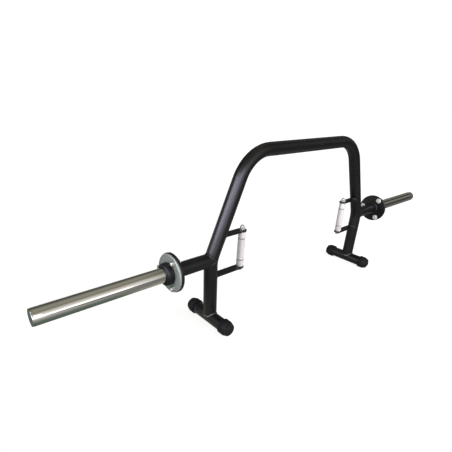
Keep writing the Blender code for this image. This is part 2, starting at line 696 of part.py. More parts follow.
def main():
    """Build every sub-assembly, left and right."""
    clear_scene()
    shop = Workshop()
    frame_outside = build_frame(shop)
    build_feet(shop)
    for label, side in SIDES:
        frame_flange = build_stub(shop, label, side, frame_outside)
        sleeve_flange = build_spindle(shop, label, side)
        bolt_flanges(shop, label, side, (frame_flange, sleeve_flange))
        build_sleeve(shop, label, side)
        build_handle(shop, label, side, frame_outside)
    bpy.context.view_layer.update()


main()
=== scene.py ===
"""The looks of a trap bar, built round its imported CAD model.

Every length is in metres, in the CAD model's own frame: X runs along the sleeves, Y across the
feet with the near side negative, and Z up from the floor. New pieces are surfaces worked out as
whole arrays, a function of two parameters or a profile carried along a path.
"""

import logging
import math
from dataclasses import dataclass, field, replace
from enum import Enum
from typing import Sequence

import bpy
import numpy as np
from mathutils import Matrix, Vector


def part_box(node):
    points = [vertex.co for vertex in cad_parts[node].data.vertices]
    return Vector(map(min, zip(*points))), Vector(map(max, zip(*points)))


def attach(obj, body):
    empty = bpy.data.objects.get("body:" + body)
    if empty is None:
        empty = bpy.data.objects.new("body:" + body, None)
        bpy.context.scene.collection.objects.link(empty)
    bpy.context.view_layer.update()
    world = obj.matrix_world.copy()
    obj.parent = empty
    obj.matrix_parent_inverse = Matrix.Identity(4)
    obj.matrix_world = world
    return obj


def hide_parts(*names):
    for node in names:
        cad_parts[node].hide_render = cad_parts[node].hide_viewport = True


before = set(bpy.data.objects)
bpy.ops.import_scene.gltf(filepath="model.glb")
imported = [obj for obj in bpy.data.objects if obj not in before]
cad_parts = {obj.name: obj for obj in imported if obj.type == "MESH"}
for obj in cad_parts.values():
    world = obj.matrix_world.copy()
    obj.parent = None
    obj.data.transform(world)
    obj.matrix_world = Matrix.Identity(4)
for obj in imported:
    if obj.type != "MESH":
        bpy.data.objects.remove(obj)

LOG = logging.getLogger("trap_bar")
Array = np.ndarray
Triple = tuple[float, float, float]
Span = tuple[float, float]
Profile = list[tuple[float, float]]
Stops = tuple[tuple[float, Triple], ...]
Socket = bpy.types.NodeSocket
Value = Socket | float | Triple


class Side(Enum):
    """The two ends of the bar, by their direction along X."""

    LEFT = -1
    RIGHT = 1

    @property
    def word(self) -> str:
        """The side's name as the CAD nodes write it."""
        return self.name.lower()


class Body(Enum):
    """The rigid bodies that pieces ride on."""

    FRAME = "frame"
    SLEEVE = "sleeve"
    GRIP = "grip"

    def name_at(self, side: Side | None) -> str:
        """The body's name in the model, where sleeves and grips are named for their side."""
        return self.value if self is Body.FRAME or side is None else f"{side.word}_{self.value}"


class FootEnd(Enum):
    """The two ends of a foot tube, by their direction along Y."""

    FRONT = -1.0
    REAR = 1.0


class Level(Enum):
    """The two flat arms of a handle."""

    UPPER = "upper"
    LOWER = "lower"


# Surfaces


@dataclass(frozen=True)
class NodeBox:
    """The space that a CAD node fills at rest."""

    low: Array
    high: Array

    @classmethod
    def of(cls, node: str) -> "NodeBox":
        """Read the box of one node."""
        low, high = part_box(node)
        return cls(np.array(low, float), np.array(high, float))

    @property
    def middle(self) -> Array:
        """The centre of the box."""
        return (self.low + self.high) / 2

    @property
    def half(self) -> Array:
        """Half the length of each edge."""
        return (self.high - self.low) / 2

    def ends(self, axis: int = 0) -> Span:
        """The two ends along an axis as distances from the bar's middle, the nearer one first."""
        near, far = sorted((abs(float(self.low[axis])), abs(float(self.high[axis]))))
        return near, far


def spanned(points: Array, corners: Array) -> float:
    """Six times the volume between the origin and triangles, positive where they face away."""
    a, b, c = (points[corners[:, k]] for k in range(3))
    return float(np.einsum("ij,ij->", a, np.cross(b, c)))


@dataclass(frozen=True)
class Surface:
    """A grid of points whose columns close into rings.

    Attributes:
        points: rows x columns x 3 array of places.
        closed_rows: the last row joins the first, as on a ring with a hole.
        poles: the two points that close the first and last row, or None for their middles.
    """

    points: Array
    closed_rows: bool = False
    poles: tuple[Array | None, ...] = (None, None)

    def vertices_and_faces(self) -> tuple[Array, Array, Array]:
        """Work out the surface's vertices, its quads and its pole triangles, facing outwards.

        Returns:
            The vertex array, the quad array and the triangle array.
        """
        rows, columns = self.points.shape[:2]
        index = np.arange(rows * columns).reshape(rows, columns)
        turned = np.roll(index, -1, axis=1)
        below, below_turned = np.roll(index, -1, axis=0), np.roll(turned, -1, axis=0)
        last = rows if self.closed_rows else rows - 1
        quads = np.stack((index, turned, below_turned, below), axis=-1)[:last].reshape(-1, 4)
        vertices = self.points.reshape(-1, 3)
        triangles = np.empty((0, 3), int)
        if not self.closed_rows:
            tips = [self.points[row].mean(axis=0) if pole is None else pole
                    for row, pole in zip((0, -1), self.poles)]
            vertices = np.vstack((vertices, tips))
            first, second = (np.full(columns, rows * columns + pole) for pole in (0, 1))
            triangles = np.vstack((np.stack((turned[0], index[0], first), axis=-1),
                                   np.stack((index[-1], turned[-1], second), axis=-1)))
        volume = sum(spanned(vertices, corners)
                     for corners in (quads[:, :3], quads[:, (0, 2, 3)], triangles))
        if volume < 0:
            quads, triangles = quads[:, ::-1], triangles[:, ::-1]
        return vertices, quads, triangles


def mesh_of(name: str, surfaces: Sequence[Surface], sharp_degrees: float) -> bpy.types.Mesh:
    """Put surfaces into one smooth-shaded mesh.

    Args:
        name: the mesh's name.
        surfaces: the closed surfaces that make the piece.
        sharp_degrees: edges that turn more than this are drawn sharp.

    Returns:
        The new mesh.
    """
    vertices, loops, sizes, offset = [], [], [], 0
    for surface in surfaces:
        points, quads, triangles = surface.vertices_and_faces()
        vertices.append(points)
        loops += [(quads + offset).ravel(), (triangles + offset).ravel()]
        sizes += [np.full(len(quads), 4), np.full(len(triangles), 3)]
        offset += len(points)
    corners, size, place = np.concatenate(loops), np.concatenate(sizes), np.vstack(vertices)
    starts = np.concatenate(([0], np.cumsum(size)[:-1]))
    mesh = bpy.data.meshes.new(name)
    mesh.vertices.add(len(place))
    mesh.vertices.foreach_set("co", place.astype(np.float32).ravel())
    mesh.loops.add(len(corners))
    mesh.loops.foreach_set("vertex_index", corners.astype(np.int32))
    mesh.polygons.add(len(size))
    mesh.polygons.foreach_set("loop_start", starts.astype(np.int32))
    mesh.polygons.foreach_set("use_smooth", np.ones(len(size), bool))
    mesh.update(calc_edges=True)
    mesh.validate()
    mesh.set_sharp_from_angle(angle=math.radians(sharp_degrees))
    return mesh


UPRIGHT_SHARE = 0.9


@dataclass(frozen=True)
class Axis:
    """A straight line with two directions square to it."""

    origin: Array
    along: Array

    @classmethod
    def through(cls, box: NodeBox, along: Triple) -> "Axis":
        """The line along X, Y or Z through a box's middle, measured from the model's origin."""
        heading = np.array(along, float)
        return cls(box.middle * (heading == 0), heading)

    @property
    def across(self) -> tuple[Array, Array]:
        """Two directions square to the line and to each other.

        Returns:
            The first, which is level or along X, and the second.
        """
        is_upright = abs(self.along[2]) > UPRIGHT_SHARE
        first = np.cross(self.along, (1.0, 0.0, 0.0) if is_upright else (0.0, 0.0, 1.0))
        first /= np.linalg.norm(first)
        return first, np.cross(self.along, first)

    def carry(self, along: Array, radius: Array, angle: Array) -> Array:
        """Points at a height along the line and a radius and angle round it.

        The formula is origin + along * height + radius * (cos(angle) * first + sin(angle) *
        second), with the three arrays spread over each other.

        Args:
            along: heights along the line.
            radius: distances from it.
            angle: angles round it.

        Returns:
            The points, in an array with one more dimension than the three.
        """
        first, second = self.across
        along, radius, angle = np.broadcast_arrays(along, radius, angle)
        return (self.origin + along[..., None] * self.along
                + (radius * np.cos(angle))[..., None] * first
                + (radius * np.sin(angle))[..., None] * second)


def turns(count: int) -> Array:
    """Equal angles round a full turn."""
    return np.arange(count) * (2 * math.pi / count)


def corner(height: float, radius: float, rounding: float, start: float, end: float,
           steps: int) -> Profile:
    """A round corner of a turned profile.

    Args:
        height: where the rounding's centre lies along the axis.
        radius: where the rounding's centre lies from the axis.
        rounding: the corner's own radius.
        start: first angle in degrees, where 0 points away from the axis and 90 along it.
        end: last angle in degrees.
        steps: how many pieces the corner has.

    Returns:
        Points of (height, radius): centre + rounding * (sin(angle), cos(angle)).
    """
    angle = np.radians(np.linspace(start, end, steps + 1))
    return list(zip(height + rounding * np.sin(angle), radius + rounding * np.cos(angle)))


def back_rim(height: float, radius: float, rounding: float, steps: int) -> Profile:
    """The rounded outer corner at the height and radius where a turned shape starts."""
    return corner(height + rounding, radius - rounding, rounding, -90, 0, steps)


def front_rim(height: float, radius: float, rounding: float, steps: int,
              until: float = 90) -> Profile:
    """The rounded outer corner where a turned shape ends, or its part until an angle."""
    return corner(height - rounding, radius - rounding, rounding, 0, until, steps)


ON_AXIS = 1e-6
FACE_RING = 0.5
RIM_STEPS = 4
EDGE_STEPS = 3
DISC_SIDES = 160
SLEEVE_SIDES = 144
CAP_SIDES = 112
FOOT_SIDES = 96
WASHER_SIDES = 80
RIM_SIDES = 72
SHANK_SIDES = 48


def revolve(axis: Axis, profile: Profile, sides: int, closed_rows: bool = False) -> Surface:
    """Carry a profile round an axis.

    A profile point (h, r) becomes the ring origin + h * along + r * (cos, sin of the angle). A
    profile that starts or ends at radius zero closes in a pole there.

    Args:
        axis: the line that it turns about.
        profile: points of (height, radius).
        sides: how many points a ring has.
        closed_rows: the profile is a closed loop that stays clear of the axis.

    Returns:
        The turned surface.
    """
    rows = np.array(profile, float)
    poles = (None, None)
    if not closed_rows:
        poles = tuple(axis.origin + rows[end, 0] * axis.along if rows[end, 1] < ON_AXIS else None
                      for end in (0, -1))
        rows = rows[rows[:, 1] > ON_AXIS]
    return Surface(axis.carry(rows[:, :1], rows[:, 1:], turns(sides)[None, :]), closed_rows, poles)


def rod(axis: Axis, start: float, end: float, radius: float, sides: int) -> Surface:
    """A plain cylinder, from a start to an end along its axis."""
    return revolve(axis, [(start, 0.0), (start, radius), (end, radius), (end, 0.0)], sides)


def disc(axis: Axis, start: float, end: float, radius: float, edges: Span,
         sides: int) -> Surface:
    """A round plate with rounded rims: a rectangle with two corners, turned on the axis.

    Args:
        axis: the plate's middle line.
        start: where its back lies along the axis.
        end: where its front lies.
        radius: its radius.
        edges: the rounding of its back rim and of its front rim.
        sides: how many points a ring has.

    Returns:
        The plate.
    """
    profile = [(start, 0.0), (start, radius * FACE_RING)]
    profile += back_rim(start, radius, edges[0], RIM_STEPS)
    profile += front_rim(end, radius, edges[1], RIM_STEPS)
    return revolve(axis, profile + [(end, radius * FACE_RING), (end, 0.0)], sides)


def ring(axis: Axis, start: float, end: float, outer: float, inner: float, edge: float,
         sides: int) -> Surface:
    """A washer: a rectangle with small round corners, turned about an axis that it misses.

    Args:
        axis: the washer's middle line.
        start: where its back lies along the axis.
        end: where its front lies.
        outer: its outer radius.
        inner: its hole's radius.
        edge: the rounding of its four corners.
        sides: how many points a ring has.

    Returns:
        The washer.
    """
    profile = corner(start + edge, inner + edge, edge, -180, -90, EDGE_STEPS)
    profile += back_rim(start, outer, edge, EDGE_STEPS) + front_rim(end, outer, edge, EDGE_STEPS)
    profile += corner(end - edge, inner + edge, edge, 90, 180, EDGE_STEPS)
    return revolve(axis, profile, sides, closed_rows=True)


FLAT_TURN = math.pi / 3
HEXAGON_SIDES = 144
CHAMFER_ROWS = 7
CHAMFER_START = 0.475
CHAMFER_SLOPE = math.tan(math.radians(30))


def hexagon(axis: Axis, start: float, end: float, across_flats: float,
            chamfers: tuple[bool, bool], turn: float, bore: float = 0.0) -> Surface:
    """A hexagon prism whose corners are turned down by chamfer cones, as on a real nut.

    The radius at an angle is the smaller of the flat's, (across_flats / 2) / cos(angle from the
    flat's middle), and the cone's, which grows at 30 degrees from the face inwards.

    Args:
        axis: the nut's middle line.
        start: where its back lies along the axis.
        end: where its front lies.
        across_flats: its width from flat to flat.
        chamfers: whether the back and the front are turned down.
        turn: how far it is screwed round, in radians.
        bore: its hole's radius, or 0 for none.

    Returns:
        The prism.
    """
    angle = turns(HEXAGON_SIDES)
    to_flat = (angle + FLAT_TURN / 2) % FLAT_TURN - FLAT_TURN / 2
    flat = across_flats / 2 / np.cos(to_flat)
    face = across_flats * CHAMFER_START
    depth = (across_flats / math.sqrt(3) - face) * CHAMFER_SLOPE
    zone = np.linspace(0, depth, CHAMFER_ROWS)
    heights = np.concatenate((start + zone, end - zone[::-1]))
    untouched = np.ones(len(heights))
    from_end = np.minimum(heights - start if chamfers[0] else untouched,
                          end - heights if chamfers[1] else untouched)
    cone = face + from_end / CHAMFER_SLOPE
    radius = np.minimum(flat[None, :], cone[:, None])
    if bore:
        radius = np.vstack((radius, np.full((2, len(angle)), bore)))
        heights = np.concatenate((heights, (end, start)))
    points = axis.carry(heights[:, None], radius, angle[None, :] + turn)
    return Surface(points, closed_rows=bool(bore))


THREAD_ROWS = 8
THREAD_SIDES = 48
LEAD_LENGTH = 1.4
LEAD_DEPTH = 1.3


def thread(axis: Axis, start: float, end: float, radius: float, pitch: float,
           depth: float) -> Surface:
    """A screw thread with a chamfered end.

    The radius is outer - depth * triangle(height / pitch - angle / turn), and no more than the
    cone of the chamfer.

    Args:
        axis: the screw's middle line.
        start: where the thread starts along the axis.
        end: where its chamfered end lies.
        radius: its outer radius.
        pitch: its rise in one turn.
        depth: how deep it is cut.

    Returns:
        The threaded rod.
    """
    rows = max(int((end - start) / pitch * THREAD_ROWS), THREAD_ROWS)
    height = np.linspace(start, end, rows)[:, None]
    angle = turns(THREAD_SIDES)[None, :]
    groove = np.abs(2 * ((height / pitch - angle / (2 * math.pi)) % 1.0) - 1)
    lead = depth * LEAD_LENGTH
    chamfer = np.clip((height - (end - lead)) / lead, 0, 1)
    reach = np.minimum(radius - depth * groove, radius - depth * LEAD_DEPTH * chamfer)
    return Surface(axis.carry(height, reach, angle))


# Paths


@dataclass(frozen=True)
class Bend:
    """One corner of a centre line in the XZ plane, and its bend radius."""

    x: float
    z: float
    radius: float = 0.0


LEAST_STRAIGHT_POINTS = 2
LEAST_BEND_POINTS = 4
BEND_FULLNESS = 0.6


def centre_line(bends: Sequence[Bend], straight_step: float, turn_step: float) -> tuple[Array, ...]:
    """Follow straight runs and round bends through the corners of a line.

    A bend of radius R that turns by an angle t leaves its corner's arms R * tan(t / 2) from the
    corner, and its points are centre + R * (cos, sin) of equal angles.

    Args:
        bends: the line's ends and corners in order.
        straight_step: spacing of points on straight runs.
        turn_step: spacing of points in bends, in degrees.

    Returns:
        Points as an array of (x, z), unit directions, and how far each point is inside a bend,
        from 0 on a straight run to 1 in the middle of one.
    """
    corners = np.array([(bend.x, bend.z) for bend in bends])
    arms = np.diff(corners, axis=0)
    units = arms / np.linalg.norm(arms, axis=1)[:, None]
    points, headings, inside = [], [], []
    start = corners[0]
    for place in range(1, len(corners)):
        last = place == len(corners) - 1
        radius, before = bends[place].radius, units[place - 1]
        reach, turn = 0.0, 0.0
        if not last:
            after = units[place]
            turn = math.atan2(before[0] * after[1] - before[1] * after[0], before @ after)
            reach = radius * math.tan(abs(turn) / 2)
        end = corners[place] - before * reach
        count = max(int(np.linalg.norm(end - start) / straight_step), LEAST_STRAIGHT_POINTS)
        share = np.linspace(0, 1, count, endpoint=last)[:, None]
        points.append(start + share * (end - start))
        headings.append(np.repeat(before[None, :], count, axis=0))
        inside.append(np.zeros(count))
        if not last:
            count = max(int(abs(math.degrees(turn)) / turn_step), LEAST_BEND_POINTS)
            angle = np.linspace(0, turn, count, endpoint=False)
            normal = np.array((-before[1], before[0])) * math.copysign(1, turn)
            cos, sin = np.cos(angle)[:, None], np.sin(np.abs(angle))[:, None]
            points.append(end + normal * radius + radius * (before * sin - normal * cos))
            headings.append(before * cos + normal * sin)
            half_turn = np.linspace(0, math.pi, count, endpoint=False)
            inside.append(np.sin(half_turn) ** BEND_FULLNESS)
            start = corners[place] + units[place] * reach
    return np.vstack(points), np.vstack(headings), np.concatenate(inside)


LEAST_BEAD_SECTIONS = 24
LEAST_RIPPLES = 3


def spaced_evenly(curve: Array, outward: Array, spacing: float) -> tuple[Array, Array]:
    """Move the points of a closed curve to equal spacing, with their outward directions.

    Args:
        curve: the points, rows x 3.
        outward: a direction at each of them.
        spacing: about how far apart they are wanted.

    Returns:
        The new points and the directions there.
    """
    closed = np.vstack((curve, curve[:1]))
    facing = np.vstack((outward, outward[:1]))
    travelled = np.concatenate(([0], np.cumsum(np.linalg.norm(np.diff(closed, axis=0), axis=1))))
    total = travelled[-1]
    places = np.arange(0, total, total / max(int(total / spacing), LEAST_BEAD_SECTIONS))
    points, directions = (
        np.column_stack([np.interp(places, travelled, values[:, k]) for k in range(3)])
        for values in (closed, facing))
    return points, directions


@dataclass(frozen=True)
class Bead:
    """A weld bead with the crescent ripples of each weld pool.

    Attributes:
        width: half the bead's width.
        height: half its height.
        ripple: spacing of the ripples.
        step: spacing of its sections.
        dip: how much narrower it is between two ripples.
        curl: how far a ripple's crescent bends, in ripples.
    """

    width: float
    height: float
    ripple: float = 0.0026
    step: float = 0.0003
    dip: float = 0.12
    curl: float = 0.5
    sides: int = 14

    def along(self, curve: Array, outward: Array) -> Surface:
        """Lay the bead along a closed curve.

        A point is curve + k * (width * cos(a) * side + height * sin(a) * outward), where side is
        square to the curve and to outward, and k = 1 - dip + dip * |sin(pi * (length / ripple -
        curl * sin(a)))| scallops it.

        Args:
            curve: the closed line of the joint, rows x 3.
            outward: at each point, the direction between the two surfaces that meet there.

        Returns:
            The bead as a ring of sections.
        """
        curve, outward = spaced_evenly(curve, outward, self.step)
        following = np.roll(curve, -1, axis=0)
        tangent = following - np.roll(curve, 1, axis=0)
        tangent /= np.linalg.norm(tangent, axis=1)[:, None]
        outward = outward - np.einsum("ij,ij->i", outward, tangent)[:, None] * tangent
        outward /= np.linalg.norm(outward, axis=1)[:, None]
        sideways = np.cross(tangent, outward)
        lengths = np.linalg.norm(following - curve, axis=1)
        total = lengths.sum()
        travelled = np.concatenate(([0], np.cumsum(lengths)[:-1]))
        waves = max(round(total / self.ripple), LEAST_RIPPLES)
        angle = turns(self.sides)[None, :]
        phase = travelled[:, None] / total * waves - self.curl * np.sin(angle)
        swell = 1 - self.dip + self.dip * np.abs(np.sin(math.pi * phase))
        points = (curve[:, None, :]
                  + (swell * self.width * np.cos(angle))[..., None] * sideways[:, None, :]
                  + (swell * self.height * np.sin(angle))[..., None] * outward[:, None, :])
        return Surface(points, closed_rows=True)


# Node groups and finishes

COLOUR_MIX_INPUTS = (0, 6, 7)
COLOUR_MIX_OUTPUT = 2


def cleared(owner: bpy.types.Material | bpy.types.World) -> bpy.types.NodeTree:
    """The node tree of a material or world, emptied."""
    owner.use_nodes = True
    owner.node_tree.nodes.clear()
    return owner.node_tree


class NodeBoard:
    """Adds and joins the nodes of one material, world or group."""

    def __init__(self, tree: bpy.types.NodeTree) -> None:
        """Work on a node tree."""
        self.tree = tree

    def add(self, kind: str, *values: Value, settings: dict[str, object] | None = None,
            **inputs: Value) -> bpy.types.Node:
        """Add a node.

        Args:
            kind: the node's type name.
            values: numbers, colours or output sockets for its first sockets in order.
            settings: attributes to set on it.
            inputs: the same by socket name, with _ for spaces.

        Returns:
            The new node.
        """
        node = self.tree.nodes.new(kind)
        for name, setting in (settings or {}).items():
            setattr(node, name, setting)
        for slot, value in enumerate(values):
            self.feed(node.inputs[slot], value)
        for name, value in inputs.items():
            self.feed(node.inputs[name.replace("_", " ")], value)
        return node

    def feed(self, socket: Socket, value: Value) -> None:
        """Join an output to a socket, or set the socket's own value."""
        if isinstance(value, bpy.types.NodeSocket):
            self.tree.links.new(value, socket)
        else:
            socket.default_value = (*value, 1.0) if socket.type == "RGBA" else value

    def maths(self, operation: str, *values: Value) -> Socket:
        """Add a Math node and return its result."""
        return self.add("ShaderNodeMath", *values, settings={"operation": operation}).outputs[0]

    def split(self, vector: Socket) -> tuple[Socket, Socket, Socket]:
        """Take a vector apart into its X, Y and Z."""
        x, y, z = self.add("ShaderNodeSeparateXYZ", vector).outputs
        return x, y, z

    def distance(self, first: Socket, second: Socket) -> Socket:
        """Work out sqrt(first^2 + second^2)."""
        squares = (self.maths("POWER", value, 2.0) for value in (first, second))
        return self.maths("SQRT", self.maths("ADD", *squares))

    def ranged(self, value: Socket, limits: Span, results: Span = (0.0, 1.0),
               smooth: bool = False) -> Socket:
        """Add a Map Range node.

        Args:
            value: what is mapped.
            limits: the values where the two results are reached.
            results: what comes out at each, and beyond it.
            smooth: ease in and out between them.

        Returns:
            The mapped value.
        """
        kind = "SMOOTHSTEP" if smooth else "LINEAR"
        node = self.add("ShaderNodeMapRange", settings={"interpolation_type": kind}, Value=value,
                        From_Min=limits[0], From_Max=limits[1], To_Min=results[0],
                        To_Max=results[1])
        return node.outputs[0]

    def ramp(self, value: Socket, stops: Stops, span: float = 1.0) -> Socket:
        """Add a colour ramp.

        Args:
            value: what the ramp is read by.
            stops: places from 0 to span, and the colour at each.
            span: the value that the ramp ends at.

        Returns:
            The ramp's colour.
        """
        node = self.add("ShaderNodeValToRGB", self.maths("DIVIDE", value, span))
        points = node.color_ramp.elements
        for place, _ in stops[2:]:
            points.new(place / span)
        for point, (place, colour) in zip(points, stops):
            point.position = place / span
            point.color = (*colour, 1.0)
        return node.outputs[0]

    def blended(self, share: Value, first: Value, second: Value) -> Socket:
        """Mix two colours.

        Args:
            share: how much of the second colour there is, from 0 to 1.
            first: the colour at 0.
            second: the colour at 1.

        Returns:
            The mixed colour.
        """
        node = self.add("ShaderNodeMix", settings={"data_type": "RGBA"})
        for slot, value in zip(COLOUR_MIX_INPUTS, (share, first, second)):
            self.feed(node.inputs[slot], value)
        return node.outputs[COLOUR_MIX_OUTPUT]


class SharedEffect(Enum):
    """Effects that several finishes use, each one node group."""

    GRAIN = "moulded_grain"
    SCRATCHES = "fine_scratches"
    WEAR = "edge_wear"
    MOTTLE = "slow_mottle"
    DUST = "settled_dust"


class EffectBoard(NodeBoard):
    """The inside of one shared node group, which takes a place and numbers by name."""

    def __init__(self, effect: SharedEffect, **numbers: float) -> None:
        """Start a group.

        Args:
            effect: the effect that the group is made for.
            numbers: its number inputs by name, with their usual values.
        """
        super().__init__(bpy.data.node_groups.new(effect.value, "ShaderNodeTree"))
        self._open("Vector", "INPUT", "NodeSocketVector")
        for name, value in numbers.items():
            self._open(name, "INPUT").default_value = value
        self.given = self.add("NodeGroupInput").outputs

    def _open(self, name: str, way: str,
              kind: str = "NodeSocketFloat") -> bpy.types.NodeTreeInterfaceSocket:
        """Give the group one more input or output."""
        return self.tree.interface.new_socket(name, in_out=way, socket_type=kind)

    def noise(self, detail: float, roughness: float, slower: float = 1.0,
              distortion: float = 0.0) -> Socket:
        """Add a noise read at the group's place and scale.

        Args:
            detail: how many finer layers it has.
            roughness: how strong they are.
            slower: its scale as a share of the group's.
            distortion: how far it is twisted.

        Returns:
            The noise, about 0 to 1.
        """
        scale = self.given["Scale"]
        if slower != 1.0:
            scale = self.maths("MULTIPLY", scale, slower)
        return self.add("ShaderNodeTexNoise", Vector=self.given["Vector"], Scale=scale,
                        Detail=detail, Roughness=roughness, Distortion=distortion).outputs[0]

    def close(self, **results: Socket) -> bpy.types.NodeTree:
        """Give the group its outputs.

        Args:
            results: what each output hands on, by name.

        Returns:
            The finished group.
        """
        for name in results:
            self._open(name, "OUTPUT")
        self.add("NodeGroupOutput", **results)
        return self.tree


class EffectShelf:
    """Builds each shared node group once and hands it out."""

    def __init__(self) -> None:
        """Build every group."""
        self.groups = {SharedEffect.GRAIN: self._grain(),
                       SharedEffect.SCRATCHES: self._scratches(),
                       SharedEffect.WEAR: self._wear(),
                       SharedEffect.MOTTLE: self._mottle(),
                       SharedEffect.DUST: self._dust()}

    def _grain(self) -> bpy.types.NodeTree:
        """Orange peel or leathery grain: two sizes of noise and a cell pattern.

        Returns:
            A group with a height and a slow tone.
        """
        board = EffectBoard(SharedEffect.GRAIN, Scale=900.0, Cells=0.3)
        cell = board.add("ShaderNodeTexVoronoi", settings={"feature": "SMOOTH_F1"},
                         Vector=board.given["Vector"], Scale=board.given["Scale"],
                         Smoothness=0.6)
        share = board.maths("MULTIPLY", cell.outputs["Distance"], board.given["Cells"])
        fine = board.noise(detail=3.0, roughness=0.55)
        return board.close(Height=board.maths("ADD", fine, share),
                           Tone=board.noise(detail=4.0, roughness=0.6, slower=0.02))

    def _scratches(self) -> bpy.types.NodeTree:
        """Fine lines along one direction: stretched noise in two widths, kept to thin peaks.

        Returns:
            A group with a height and the lines' mask.
        """
        board = EffectBoard(SharedEffect.SCRATCHES, Scale=300.0, Amount=0.5)
        wide = board.noise(detail=3.0, roughness=0.65, slower=0.31)
        peaks = board.ranged(wide, limits=(0.58, 0.72), smooth=True)
        lines = board.maths("MULTIPLY", peaks, board.given["Amount"])
        thin = board.noise(detail=2.0, roughness=0.5)
        return board.close(Height=board.maths("SUBTRACT", thin, lines), Lines=lines)

    def _wear(self) -> bpy.types.NodeTree:
        """Rubbed edges: where the surface turns sharply outwards, broken up by noise.

        Returns:
            A group with the edges' mask.
        """
        board = EffectBoard(SharedEffect.WEAR, Scale=120.0, Amount=0.5)
        shape = board.add("ShaderNodeNewGeometry")
        edge = board.ranged(shape.outputs["Pointiness"], limits=(0.505, 0.56), smooth=True)
        patches = board.ranged(board.noise(detail=5.0, roughness=0.65), limits=(0.42, 0.62))
        rubbed = board.maths("MULTIPLY", edge, patches)
        return board.close(Edge=board.maths("MULTIPLY", rubbed, board.given["Amount"]))

    def _mottle(self) -> bpy.types.NodeTree:
        """Slow unevenness of a plated or painted surface.

        Returns:
            A group with a tone that is 0.5 on average.
        """
        board = EffectBoard(SharedEffect.MOTTLE, Scale=14.0, Contrast=1.0)
        slow = board.noise(detail=5.0, roughness=0.6, distortion=0.4)
        centred = board.maths("SUBTRACT", slow, 0.5)
        spread = board.maths("MULTIPLY", centred, board.given["Contrast"])
        return board.close(Tone=board.maths("ADD", spread, 0.5))

    def _dust(self) -> bpy.types.NodeTree:
        """Dust that lies on surfaces facing up, thicker where a slow noise is high.

        Returns:
            A group with the dust's mask.
        """
        board = EffectBoard(SharedEffect.DUST, Scale=60.0, Amount=0.3)
        _, _, upright = board.split(board.add("ShaderNodeNewGeometry").outputs["Normal"])
        upward = board.ranged(upright, limits=(0.35, 1.0), smooth=True)
        patches = board.ranged(board.noise(detail=6.0, roughness=0.7), limits=(0.4, 0.75))
        lying = board.maths("MULTIPLY", upward, patches)
        return board.close(Dust=board.maths("MULTIPLY", lying, board.given["Amount"]))


class FinishBoard(NodeBoard):
    """The nodes of one material, with the shared groups at hand."""

    def __init__(self, material: bpy.types.Material, shelf: EffectShelf) -> None:
        """Clear the material's nodes and note what is read by place."""
        super().__init__(cleared(material))
        self.shelf = shelf
        self.where = self.add("ShaderNodeTexCoord").outputs["Object"]

    def effect(self, effect: SharedEffect, where: Socket,
               **numbers: float) -> bpy.types.NodeOutputs:
        """Place a shared group, read at a place, with this material's own numbers."""
        group = {"node_tree": self.shelf.groups[effect]}
        return self.add("ShaderNodeGroup", settings=group, Vector=where, **numbers).outputs


MOTTLE_CONTRAST = 1.6
WEAR_SCALE = 140.0
DUST_SCALE = 45.0
DUST_COLOUR: Triple = (0.36, 0.35, 0.33)
DUST_DULLING = 0.5
FINE_TINTING = 0.35
FINE_DULLING = 0.1
GRAIN_CELLS = 0.4


def scaled(colour: Triple, factor: float) -> Triple:
    """A colour made lighter or darker."""
    red, green, blue = (part * factor for part in colour)
    return red, green, blue


